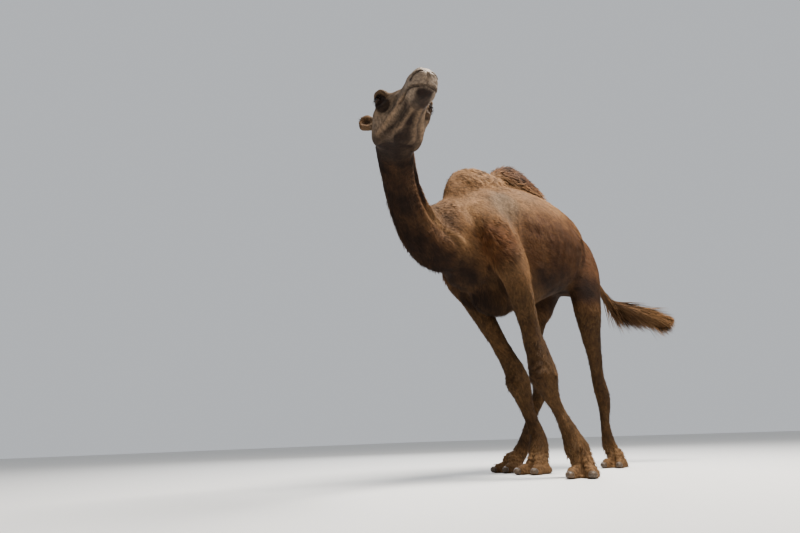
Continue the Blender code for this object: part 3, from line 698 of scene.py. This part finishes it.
def markings(areas):
    """Masks of the coat's colours: rust, dark, pale, grey, ochre and muzzle; the dark also holds painted
    shade, the pale painted highlights and the grey a painted sheen.
    """
    own, both = areas.own, areas.both
    y, z = own[:, 1], own[:, 2]
    patchy, fine = ripple(own, 0.11, 31), ripple(own, 0.035, 32)
    fleck = ramp(ripple(own, 0.02, 33), 0.0, 0.9)
    cracks = ramp(1 - np.abs(ripple(own, 0.02, 8)), 0.86, 1.0)
    streak = 0.5 + 0.5 * fine
    rump = areas.trunk * ramp(y, 0.55, 1.15)
    side = spot(both, (0.27, 0.68, 1.4), (0.24, 0.8, 0.36))
    # painted shade on the lower flank behind the elbows
    lower_flank_shade = areas.trunk * (1 - ramp(z, 1.18, 1.5)) * ramp(y, 0.24, 0.4)
    neck_edge_highlight = bell(along_path(own, NECK_EDGE_HIGHLIGHT)[0], 0.035)
    back_line_highlight = bell(along_path(own, BACK_LINE_HIGHLIGHT)[0], 0.035)
    crown = ramp(areas.mirror[:, 2], -0.03, 0.05)
    face_dark_and_shade, gullet_shade, face_pale_and_highlight = face_marks(areas)

    rust = most(areas.shoulder, 0.97 * areas.hump, 0.9 * rump, 0.85 * side, 0.6 * areas.neck)
    # painted shade: the breast, groin, armpits and upper arms, the downward-facing throat, brisket and belly,
    # the lower flank and the undersides of the legs
    dark = most(
        *(strength * spot(both, centre, radii) for strength, centre, radii in SHADE_SPOTS),
        0.94 * areas.throat, 0.95 * areas.brisket, 0.75 * areas.belly, 0.5 * areas.neck,
        # the side and the rump are darkened partly as painted shade, partly as their own darker coat; the
        # knee pads and their cracks are their own dark
        0.5 * side, 0.4 * rump, 0.85 * lower_flank_shade, areas.callus * (0.5 + 0.45 * cracks),
        0.5 * areas.leg * ramp(-areas.normals[:, 2], -0.1, 0.8),
        areas.leg * (0.48 + 0.14 * fleck) * (1 - 0.75 * areas.foot),
        # the hump's flecks are its own dark hair; its even darkening is partly painted shade
        areas.hump * (0.46 + 0.42 * fleck), 0.6 * areas.withers * fleck, 0.16 * areas.trunk * fleck,
    )
    # the painted highlight on the side of the neck's base also lightens the dark there
    dark *= 1 - 0.6 * neck_edge_highlight
    dark += areas.head * (face_dark_and_shade - dark)
    tail_top = areas.tail * (1 - ramp(areas.tail_share, 0.25, 0.68))
    dark = most(dark, gullet_shade, 0.8 * tail_top * (0.2 + 0.8 * streak))
    # painted highlights along the side of the neck's base, the spine behind the hump and the upward-facing
    # top of the neck; the rest is the coat's own pale
    pale = (1 - areas.hump) * most(
        0.5 * areas.withers, 0.28 * areas.foot, 0.55 * areas.nape, 0.95 * neck_edge_highlight, 0.45 * back_line_highlight,
        0.5 * spot(both, (0.15, -0.16, 1.62), (0.1, 0.12, 0.16)),
    )
    tail_end = areas.tail * ramp(areas.tail_share, 0.3, 0.62)
    pale = most(pale, face_pale_and_highlight, 0.9 * tail_end * (0.5 + 0.5 * streak))
    # painted sheen on top of the shoulders and on the saddle; the grey of the flanks, feet and face is the
    # coat's own
    grey = (1 - areas.hump) * most(
        0.95 * spot(both, (0.2, 0.11, 1.62), (0.17, 0.22, 0.2)),
        0.65 * spot(both, (0.05, 0.34, 1.72), (0.24, 0.24, 0.16)),
        0.2 * side, 0.55 * areas.foot, 0.8 * areas.head,
    )
    ochre = areas.leg * (1 - 0.4 * areas.foot)
    face = 0.48 * areas.head * (1 - 0.6 * areas.ear) * (1 - 0.85 * crown)
    muzzle = np.maximum(areas.muzzle * (1 - 0.25 * crown), face)
    masks = []
    for mask, rough in ((rust, 0.3), (dark, 0.22), (pale, 0.3), (grey, 0.3), (ochre, 0.15), (muzzle, 0.1)):
        uneven = mask + rough * (0.7 * patchy + 0.5 * fine) * np.sqrt(np.clip(mask * (1 - 0.6 * mask), 0, 1))
        masks.append(np.clip(uneven, 0, 1))
    return masks


def write_marks(mesh, masks, root_at, tone, along):
    """Keep the markings, with their painted shade, highlights and sheen, on the mesh, as coloured attributes
    that its materials read.
    """
    rust, dark, pale, grey, ochre, muzzle = masks
    one = np.ones(len(rust))
    for name, parts in (("marks_a", (rust, dark, pale, one)), ("marks_b", (grey, ochre, muzzle, one)),
                        ("strand", (tone, along, one, one))):
        keep(mesh.attributes.new(name, "FLOAT_COLOR", "POINT").data, "color", np.stack(parts, axis=1))
    keep(mesh.attributes.new("root_at", "FLOAT_VECTOR", "POINT").data, "vector", root_at)


# ---- how the coat lies
def lie_of_coat(surface, areas):
    """The way the hair points at each place of the hide, along its surface."""
    own = areas.own
    way = areas.trunk[:, None] * np.array((0, 0.85, -0.5))
    way[:, 0] += areas.trunk * np.sign(own[:, 0]) * 0.1
    way += areas.leg[:, None] * np.array((0, 0.15, -1.0))
    way += areas.neck[:, None] * way_along(NECK_LINE, along_path(own, NECK_LINE)[1])
    way += 1.5 * areas.tail[:, None] * way_along(TAIL_LINE, areas.tail_share)
    way += areas.head[:, None] * (TURN_NP @ np.array((0, 1.0, -0.25)))
    left, right = TURN_NP @ np.array((0.62, 0.74, 0.22)), TURN_NP @ np.array((-0.92, 0.26, 0.16))
    ear = np.where(areas.heads[:, :1] > 0, left, right)
    way = np.where(areas.ear[:, None] > 0.3, ear, way)
    way += 0.25 * np.stack([ripple(own, 0.12, seed) for seed in (41, 42, 43)], axis=1)
    for _ in range(3):
        way -= surface.normals * (way * surface.normals).sum(1)[:, None]
        way = surface.soften(unit(way), 6)
    way -= surface.normals * (way * surface.normals).sum(1)[:, None]
    return unit(way)


class Field:
    """The hide as ground for hair: its triangles, their sizes, and how the coat lies on them."""

    def __init__(self, surface, ways):
        mesh = surface.mesh
        mesh.calc_loop_triangles()
        self.corners = read(mesh.loop_triangles, "vertices", 3, np.int32)
        self.places, self.normals, self.ways = surface.places, surface.normals, ways
        a, b, c = (self.places[self.corners[:, index]] for index in range(3))
        centres = (a + b + c) / 3
        bare = eye_window(centres) | (centres[:, 2] < BARE_SOLE)
        self.sizes = np.where(bare, 0, np.linalg.norm(np.cross(b - a, c - a), axis=1) / 2)
        self.middles = Areas(centres, self.normals[self.corners[:, 0]])

    def roots(self, thickness, count, seed):
        """Scatter roots evenly where the coat is thick: places, normals and ways."""
        chance = np.random.default_rng(seed)
        weight = np.cumsum(self.sizes * thickness)
        picks = (np.arange(count) + chance.random(count)) / count * weight[-1]
        rows = self.corners[np.minimum(np.searchsorted(weight, picks), len(weight) - 1)]
        first, second = np.sqrt(chance.random(count)), chance.random(count)
        shares = np.stack((1 - first, first * (1 - second), first * second), axis=1)[:, :, None]
        tables = (self.places, self.normals, self.ways)
        places, normals, ways = ((table[rows] * shares).sum(1) for table in tables)
        return places, unit(normals), unit(ways)


def eye_window(places):
    """True inside the opening of the lids."""
    wet = np.zeros(len(places), bool)
    for side in (-1, 1):
        _, reach, ahead, _, almond = eye_view(places, side)
        wet |= (reach < BALL_RADIUS * 1.5) & (ahead > 0) & (almond < 1.15)
    return wet


# ---- tufts
def bake_place(own, normals):
    """Each root's place on an unwrap of the hide, with one chart for each way it faces."""
    rows = np.arange(len(own))
    axis = np.argmax(np.abs(normals), axis=1)
    chart = axis * 2 + (normals[rows, axis] > 0)
    total = int(chart.max()) + 1
    wide = math.ceil(math.sqrt(total))
    tall = math.ceil(total / wide)
    flat = np.stack([own[rows, (axis + 1 + step) % 3] for step in range(2)], axis=1)
    place = np.empty((len(own), 2))
    for index in range(total):
        here = chart == index
        if here.any():
            low, high = flat[here].min(0), flat[here].max(0)
            inside = (flat[here] - low) / np.maximum(high - low, 1e-6)
            corner = np.array((index % wide, index // wide))
            place[here] = (corner + BAKE_MARGIN + (1 - 2 * BAKE_MARGIN) * inside) / (wide, tall)
    return place


def grow(name, roots, length, width, lift, rings=1, droop=0.0, curl=0.0, seed=0, softness=0.6):
    """Closed tufts with triangular section: each from its root, along the coat, to a point.

    length, width and lift (how far the tip stands off, as a share of length) are one number per root.
    """
    places, normals, ways = roots
    count = len(places)
    chance = np.random.default_rng(seed)
    across = unit(np.cross(normals, ways))
    ways = unit(ways + across * chance.normal(0, 0.16, count)[:, None])
    across = unit(np.cross(normals, ways))
    curl_way = chance.uniform(-1, 1, count)[:, None] * curl
    verts, outward, alongs = [], [], []
    for ring in range(rings + 1):
        share = ring / rings
        rise = lift * (1.7 * share - 0.7 * share * share)
        line = places - normals * ROOT_DEPTH + ways * (length * share)[:, None]
        line += normals * (length * rise)[:, None] + across * curl_way * (length * share * share)[:, None]
        line[:, 2] -= droop * length * share * share
        if ring == rings:
            verts.append(line)
            outward.append(normals)
            alongs.append(np.ones(count))
            break
        thin = (width * (1 - 0.65 * share * share))[:, None] / 2
        for side, up in ((-1, -0.1), (1, -0.1), (0, 0.75)):
            verts.append(line + across * thin * side + normals * thin * up)
            outward.append(unit(across * side * 0.8 + normals * (up + 0.2)))
            alongs.append(np.full(count, share))
    points = 3 * rings + 1
    verts = np.stack(verts, axis=1)
    verts[..., 2] = np.maximum(verts[..., 2], FLOOR_GAP)
    outward = unit((1 - softness) * np.stack(outward, axis=1) + softness * normals[:, None])
    alongs = np.stack(alongs, axis=1)
    faces = [(0, 2, 1)]
    for ring in range(rings - 1):
        for step in range(3):
            near, after = ring * 3 + step, ring * 3 + (step + 1) % 3
            faces += [(near, after, near + 3), (after, after + 3, near + 3)]
    top, tip = 3 * (rings - 1), points - 1
    faces += [(top, top + 1, tip), (top + 1, top + 2, tip), (top + 2, top, tip)]
    corners = (np.array(faces)[None] + (np.arange(count) * points)[:, None, None]).reshape(-1)
    mesh = bpy.data.meshes.new(name)
    mesh.vertices.add(count * points)
    keep(mesh.vertices, "co", verts)
    mesh.loops.add(len(corners))
    keep(mesh.loops, "vertex_index", corners, np.int32)
    mesh.polygons.add(len(corners) // 3)
    keep(mesh.polygons, "loop_start", np.arange(0, len(corners), 3), np.int32)
    mesh.update(calc_edges=True)
    mesh.shade_smooth()
    own = to_own(places)
    spread = np.array([((step % 3) / 3 - 0.33, alongs[0, step] - 0.5) for step in range(points)]) * BAKE_PATCH
    table = (bake_place(own, normals)[:, None] + spread[None]).reshape(-1, 2)[corners]
    keep(mesh.uv_layers.new(name="OFBake").data, "uv", table)
    masks = [np.repeat(mask, points) for mask in markings(Areas(places, normals))]
    tone = np.repeat(chance.random(count), points)
    write_marks(mesh, masks, np.repeat(own, points, axis=0), tone, alongs.ravel())
    mesh.normals_split_custom_set_from_vertices(outward.reshape(-1, 3).astype(np.float32))
    return new_piece(name, mesh)


def coat_pieces(surface, material):
    """All the tufts: a short coat everywhere, and locks where the hair is long."""
    field = Field(surface, lie_of_coat(surface, surface.areas()))
    middle = field.middles
    portion = 1.0
    across, back, rise = middle.own.T
    left = across > 0
    rear = (back >= 0.62 + 0.35 * left) | ((across < -0.18) & (back > 0.55))
    leg, body = middle.leg, middle.trunk * (1 - 0.9 * middle.hump)
    # short coat: name, slot, thickness, tufts, length, width, lift
    short = (
        ("face_coat", "face_hide", middle.head * (1 + middle.muzzle), 40000, 0.01, 0.0017, 0.14),
        ("neck_coat", "neck_hide", middle.neck, 44000, 0.018, 0.0028, 0.13),
        ("flank_coat_left", "hide", body * left, 42000, 0.023, 0.0034, 0.13),
        ("flank_coat_right", "hide", body * ~left, 42000, 0.023, 0.0034, 0.13),
        ("foreleg_coat", "leg_hide", leg * ~rear, 41000, 0.014, 0.0027, 0.26),
        ("hindleg_coat", "leg_hide", leg * rear, 37000, 0.014, 0.0027, 0.26),
    )
    chance = np.random.default_rng(SEED)
    for index, (name, slot, thickness, count, length, width, lift) in enumerate(short):
        count = int(count * portion)
        roots = field.roots(thickness, count, SEED + index)
        at = Areas(roots[0], roots[1])
        size = chance.uniform(0.6, 1.35, count)
        size *= 1 - 0.35 * at.muzzle - 0.3 * at.foot + 0.7 * at.shoulder + 0.8 * at.withers + 0.3 * at.throat
        size *= (1 - 0.5 * at.ear) * (0.55 + 0.45 * np.maximum(ramp(at.heads[:, 1], 0.02, 0.3), at.head))
        stand = lift * chance.uniform(0.4, 1.6, count)
        tufts = grow(name, roots, length * size, width * size, stand, seed=SEED + index)
        finished(tufts, material)
    elbow = np.maximum(
        spot(middle.own, (0.27, 0.19, 1.12), (0.07, 0.08, 0.14)),
        spot(middle.own, (-0.24, 0.3, 1.12), (0.07, 0.08, 0.14)),
    )
    poll = spot(middle.heads, (0, -0.02, 0.075), (0.075, 0.075, 0.06))
    fetlock = bell(rise - 0.13, 0.06)
    tail = middle.brush * (1 - ramp(middle.tail_share, 0.86, 0.97))
    withers, throat = middle.withers + 0.25 * middle.nape, 0.12 * middle.throat + middle.brisket
    # locks: the same, and droop and curl
    long = (
        ("hump_locks", "hump_hair", middle.hump ** 1.5, 9500, 0.062, 0.0075, 0.42, 0.1, 0.35),
        ("withers_locks", "hump_hair", withers, 5500, 0.034, 0.0048, 0.22, 0.05, 0.3),
        ("shoulder_locks", "hide", middle.shoulder ** 1.5 + elbow, 5200, 0.04, 0.0048, 0.18, 0.25, 0.4),
        ("throat_locks", "neck_hide", throat, 4000, 0.034, 0.0045, 0.18, 0.3, 0.3),
        ("poll_locks", "hump_hair", poll, 1500, 0.026, 0.0035, 0.32, 0.1, 0.3),
        ("leg_locks", "leg_hide", leg * (0.25 + fetlock), 5500, 0.024, 0.0042, 0.26, 0.2, 0.6),
        ("tail_locks", "hump_hair", tail, 9500, 0.26, 0.0052, 0.02, 0.08, 0.05),
    )
    for index, (name, slot, thickness, count, length, width, lift, droop, curl) in enumerate(long):
        count = int(count * portion)
        roots = field.roots(thickness, count, SEED + 50 + index)
        size = chance.uniform(0.55, 1.3, count)
        size *= 0.45 + 0.55 * ramp(to_head(to_own(roots[0]))[:, 1], 0.02, 0.3)
        stand = lift * chance.uniform(0.5, 1.5, count)
        lengths = length * size
        if name == "tail_locks":
            share = along_path(to_own(roots[0]), TAIL_LINE)[1]
            lengths = np.minimum(lengths, TAIL_LENGTH * (1.015 - share) * chance.uniform(0.9, 1.06, count))
        tufts = grow(
            name, roots, lengths, width * np.sqrt(size), stand, rings=2,
            droop=droop, curl=curl, seed=SEED + 90 + index, softness=0.45,
        )
        finished(tufts, material)


# ---- eyes and nails
def make_eye(side, material):
    """An eyeball with a raised cornea; the places on it drive the iris and the pupil."""
    name = "eyeball_left" if side > 0 else "eyeball_right"
    data, ball = new_ball(name, 64, 40)
    middle, gaze, forward, up = eye_axes(side)
    cornea = ramp(ball[:, 2], math.cos(math.radians(40)), 1.0)
    shape = ball * (1 + 0.07 * cornea)[:, None] * BALL_RADIUS * 0.995
    keep(data.attributes.new("eye_place", "FLOAT_VECTOR", "POINT").data, "vector", ball)
    reshape(data, shape[:, :1] * forward + shape[:, 1:2] * up + shape[:, 2:] * gaze + middle)
    if np.linalg.det(np.stack((forward, up, gaze))) < 0:
        data.flip_normals()
    piece = finished(new_piece(name, data), material)
    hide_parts("eye_left" if side > 0 else "eye_right")


def make_lashes(material):
    """Long dark lashes along both lids of both eyes."""
    chance = np.random.default_rng(SEED)
    places, normals, ways, lengths = [], [], [], []
    for side in (-1, 1):
        middle, gaze, forward, up = eye_axes(side)
        for index in range(LASHES):
            upper = index < UPPER_LASHES
            angle = math.radians(chance.uniform(12, 168) * (1 if upper else -1))
            across, rise = 0.97 * math.cos(angle), 0.6 * math.sin(angle)
            rise += 0.12 * across - 0.1
            ahead = math.sqrt(max(1.2 - across * across - rise * rise, 0.05))
            places.append(middle + BALL_RADIUS * (across * forward + rise * up + ahead * gaze))
            normals.append(up if upper else -up)
            ways.append(gaze * 0.6 + forward * across * 0.5 - up * 0.6)
            lengths.append(chance.uniform(0.009, 0.016) if upper else chance.uniform(0.004, 0.008))
    roots = (np.array(places), unit(np.array(normals)), unit(np.array(ways)))
    same = np.ones(len(lengths))
    piece = grow("lashes", roots, np.array(lengths), 0.0012 * same, 0.1 * same, rings=3, seed=7)
    finished(piece, material)


def make_nails(material):
    """Worn horn nails, ringed with growth, one at the tip of each toe."""
    for name, x, y, turn, size in FEET:
        foot = np.array(foot_frame(x, y, turn))
        outward = 1 if name.endswith("left") else -1
        for side in (-1, 1):
            node = "nail_" + name + ("_outer" if side == outward else "_inner")
            data, ball = new_ball(node.replace("nail", "horn"), 36, 22)
            across, back, rise = ball.T
            rings = 1 + 0.022 * np.sin(back * 17 + 3 * ripple(ball, 0.8, 3)) * (rise > -0.3)
            across = across * (1 - 0.16 * ramp(-back, 0.2, 1.0)) * rings
            rise = np.where(rise > 0, rise * (1 + 0.06 * ramp(back, -0.2, 0.6)), rise * 0.95) * rings
            shape = np.stack((across, back * 1.03, rise), axis=1) * np.array(NAIL_RADII) * (size, size, 1)
            shape += np.array((side * NAIL_AT[0] * size, NAIL_AT[1] * size + 0.003, NAIL_AT[2] - 0.003))
            shape[:, 2] = np.maximum(shape[:, 2], 0.005)
            reshape(data, shape @ foot[:3, :3].T + foot[:3, 3])
            piece = finished(new_piece(data.name, data), material)
            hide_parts(node)


# ---- materials
class Nodes:
    """Short ways to add and link shader nodes."""

    def __init__(self, tree):
        self.tree = tree

    def add(self, kind, **settings):
        node = self.tree.nodes.new(kind)
        for name, value in settings.items():
            setattr(node, name, value)
        return node

    def put(self, node, socket, value):
        """Link an output, or set a constant."""
        if isinstance(value, bpy.types.NodeSocket):
            self.tree.links.new(value, node.inputs[socket])
        else:
            node.inputs[socket].default_value = value

    def fill(self, node, values):
        for socket, value in values.items():
            self.put(node, socket, value)

    def mix(self, share, first, second, blend="MIX"):
        node = self.add("ShaderNodeMix", data_type="RGBA", blend_type=blend)
        self.fill(node, {0: share, 6: first, 7: second})
        return node.outputs[2]

    def maths(self, operation, *values):
        node = self.add("ShaderNodeMath", operation=operation)
        self.fill(node, dict(enumerate(values)))
        return node.outputs[0]

    def noise(self, place, scale, detail=3.0, rough=0.55):
        node = self.add("ShaderNodeTexNoise")
        self.fill(node, {"Vector": place, "Scale": scale, "Detail": detail, "Roughness": rough})
        return node.outputs["Fac"]

    def span(self, value, low, high, new_low=0.0, new_high=1.0, smooth=True):
        node = self.add("ShaderNodeMapRange", interpolation_type="SMOOTHSTEP" if smooth else "LINEAR")
        self.fill(node, dict(enumerate((value, low, high, new_low, new_high))))
        return node.outputs[0]

    def bump(self, shader, height, strength, distance):
        node = self.add("ShaderNodeBump")
        self.fill(node, {"Strength": strength, "Distance": distance, "Height": height})
        self.put(shader, "Normal", node.outputs[0])


# sockets of the markings' node group: name, the mesh attribute it reads, kind
MARK_SOCKETS = (
    ("First Marks", "marks_a", "Color"), ("Second Marks", "marks_b", "Color"),
    ("Strand", "strand", "Color"), ("Root", "root_at", "Vector"),
)


def colour_group():
    """The animal's markings, with their painted shade, highlights and sheen, as a colour, the same for the
    hide and for every tuft.
    """
    tree = bpy.data.node_groups.new("coat_marks_and_painted_light", "ShaderNodeTree")
    for name, _, kind in MARK_SOCKETS:
        tree.interface.new_socket(name, in_out="INPUT", socket_type="NodeSocket" + kind)
    tree.interface.new_socket("Colour", in_out="OUTPUT", socket_type="NodeSocketColor")
    tree.interface.new_socket("Roughness", in_out="OUTPUT", socket_type="NodeSocketFloat")
    made = Nodes(tree)
    given = made.add("NodeGroupInput")
    first, second, strand = (made.add("ShaderNodeSeparateColor") for _ in range(3))
    for index, node in enumerate((first, second, strand)):
        made.put(node, 0, given.outputs[index])
    rust, dark, pale = first.outputs
    grey, ochre, muzzle = second.outputs
    tone, along = strand.outputs[0], strand.outputs[1]
    colour = TAN
    paints = (GREY_BEIGE_AND_SHEEN, OCHRE, RUST, SAND_AND_HIGHLIGHT, MUZZLE_GREY, UMBER_AND_SHADE)
    # the grey mix also lays on a painted sheen, the pale mix painted highlights and the dark mix painted
    # shade
    for share, paint in zip((grey, ochre, rust, pale, muzzle, dark), paints):
        colour = made.mix(share, colour, paint)
    dust = made.span(made.noise(given.outputs["Root"], 9.0, 5.0), 0.42, 0.72, 0.0, 0.26)
    clean = made.maths("MULTIPLY_ADD", dark, -0.92, 1.0)
    colour = made.mix(made.maths("MULTIPLY", dust, clean), colour, DUST)
    speck = made.span(made.noise(given.outputs["Root"], 70.0, 5.0, 0.7), 0.3, 0.7, 0.56, 1.4)
    tips = made.span(along, 0.0, 1.0, 0.78, 1.22, False)
    tufts = made.span(tone, 0.0, 1.0, 0.66, 1.36, False)
    light = made.maths("MULTIPLY", made.maths("MULTIPLY", speck, tips), tufts)
    shade = made.add("ShaderNodeCombineColor")
    made.fill(shade, {0: light, 1: light, 2: light})
    colour = made.mix(1.0, colour, shade.outputs[0], "MULTIPLY")
    rough = made.span(muzzle, 0.0, 1.0, 0.82, 0.62, False)
    made.fill(made.add("NodeGroupOutput"), {"Colour": colour, "Roughness": rough})
    return tree


def new_material(name):
    material = bpy.data.materials.new(name)
    material.use_nodes = True
    return material, Nodes(material.node_tree), material.node_tree.nodes["Principled BSDF"]


def marked_material(name, group, creased, specular):
    """A material that reads the markings, with their painted shade, highlights and sheen, kept on the mesh.
    """
    material, made, shader = new_material(name)
    marks = made.add("ShaderNodeGroup", node_tree=group)
    for socket, kept, kind in MARK_SOCKETS:
        node = made.add("ShaderNodeAttribute", attribute_name=kept)
        made.put(marks, socket, node.outputs[kind])
    made.fill(shader, {
        "Base Color": marks.outputs["Colour"], "Roughness": marks.outputs["Roughness"],
        "Specular IOR Level": specular,
    })
    if creased:
        root = node.outputs["Vector"]
        grain = made.noise(root, 260.0, 4.0, 0.6)
        creases = made.noise(root, 70.0, 3.0, 0.6)
        made.bump(shader, made.maths("MULTIPLY_ADD", creases, 1.6, grain), 0.55, 0.0022)
    return material


def eye_material():
    """Wet dark eye: brown iris with a wide, level pupil."""
    material, made, shader = new_material("wet_eye")
    place = made.add("ShaderNodeAttribute", attribute_name="eye_place").outputs["Vector"]
    axes = made.add("ShaderNodeSeparateXYZ")
    made.put(axes, 0, place)
    across, up = axes.outputs[0], axes.outputs[1]
    square = made.maths("MULTIPLY", across, across)
    reach = made.maths("SQRT", made.maths("MULTIPLY_ADD", up, up, square))
    flat = made.maths("DIVIDE", up, 0.55)
    wide = made.maths("SQRT", made.maths("MULTIPLY_ADD", flat, flat, square))
    iris = made.span(reach, 0.6, 0.68, 1.0, 0.0)
    pupil = made.span(wide, 0.34, 0.4, 1.0, 0.0)
    fibres = made.span(made.noise(place, 9.0, 5.0, 0.7), 0.3, 0.7)
    brown = made.mix(fibres, (0.02, 0.009, 0.004, 1), (0.06, 0.028, 0.01, 1))
    colour = made.mix(iris, (0.03, 0.016, 0.011, 1), brown)
    colour = made.mix(pupil, colour, (0.003, 0.003, 0.004, 1))
    made.fill(shader, {
        "Base Color": colour, "Roughness": 0.12, "Specular IOR Level": 0.35,
        "Coat Weight": 0.35, "Coat Roughness": 0.03,
    })
    return material


def nail_material():
    """Dull grey horn, streaked along the nail and stained with dust."""
    material, made, shader = new_material("horn")
    place = made.add("ShaderNodeTexCoord").outputs["Object"]
    streaks = made.span(made.noise(place, 140.0, 4.0, 0.6), 0.35, 0.7)
    stain = made.span(made.noise(place, 30.0, 4.0), 0.4, 0.7)
    colour = made.mix(streaks, (0.05, 0.036, 0.026, 1), (0.125, 0.094, 0.068, 1))
    colour = made.mix(stain, colour, (0.105, 0.063, 0.033, 1))
    rough = made.span(streaks, 0.0, 1.0, 0.42, 0.62)
    made.fill(shader, {"Base Color": colour, "Roughness": rough})
    made.bump(shader, streaks, 0.4, 0.001)
    return material


def lash_material():
    material, made, shader = new_material("lash_hair")
    made.fill(shader, {"Base Color": (0.02, 0.013, 0.01, 1), "Roughness": 0.5})
    return material


# ---- camera and studio
def make_camera():
    data = bpy.data.cameras.new("camera")
    data.lens = 28
    data.sensor_width = 36
    camera = new_piece("camera", data)
    stand = Matrix.Translation(HOME + CAMERA_AT)
    for angle, axis in CAMERA_TURNS:
        stand = stand @ Matrix.Rotation(math.radians(angle), 4, axis)
    camera.matrix_world = stand
    bpy.context.scene.camera = camera


def make_light(name, place, target, size, power, colour):
    data = bpy.data.lights.new(name, "AREA")
    data.energy = power
    data.size = size
    data.color = colour
    light = new_piece(name, data)
    light.location = place
    light.rotation_euler = (Vector(target) - Vector(place)).to_track_quat("-Z", "Y").to_euler()


def make_studio():
    bpy.ops.mesh.primitive_plane_add(size=60, location=(0, 0, 0))
    floor = bpy.context.active_object
    floor.name = "floor"
    material, made, shader = new_material("pale_floor")
    made.fill(shader, {"Base Color": (0.7, 0.69, 0.67, 1), "Roughness": 0.9})
    floor.data.materials.append(material)
    world = bpy.data.worlds.new("studio")
    bpy.context.scene.world = world
    world.use_nodes = True
    back = world.node_tree.nodes["Background"]
    Nodes(world.node_tree).fill(back, {"Color": (0.86, 0.89, 0.93, 1), "Strength": 0.55})
    make_light("key", (1.4, 0.2, 5.4), (0, 0, 1.3), 2.2, 600, (1.0, 0.96, 0.9))
    make_light("fill", (4.5, -3.5, 1.6), (0, 0, 1.2), 4.0, 30, (1.0, 0.97, 0.94))
    make_light("rim", (-4.0, 3.5, 4.5), (0, 0, 1.4), 3.0, 200, (0.95, 0.97, 1.0))


bpy.context.scene.view_settings.look = "AgX - Medium High Contrast"
make_camera()
make_studio()
group = colour_group()
hide, hide_surface = make_hide()
hide_areas = hide_surface.areas()
plain = np.full(len(hide_surface.places), 0.42)
write_marks(hide.data, markings(hide_areas), hide_areas.own, plain, 0.8 * plain)
finished(hide, marked_material("hide", group, True, 0.25))
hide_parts(*FLESH)
coat_pieces(hide_surface, marked_material("coat", group, False, 0.3))
wet = eye_material()
for eye_side in (-1, 1):
    make_eye(eye_side, wet)
make_lashes(lash_material())
make_nails(nail_material())
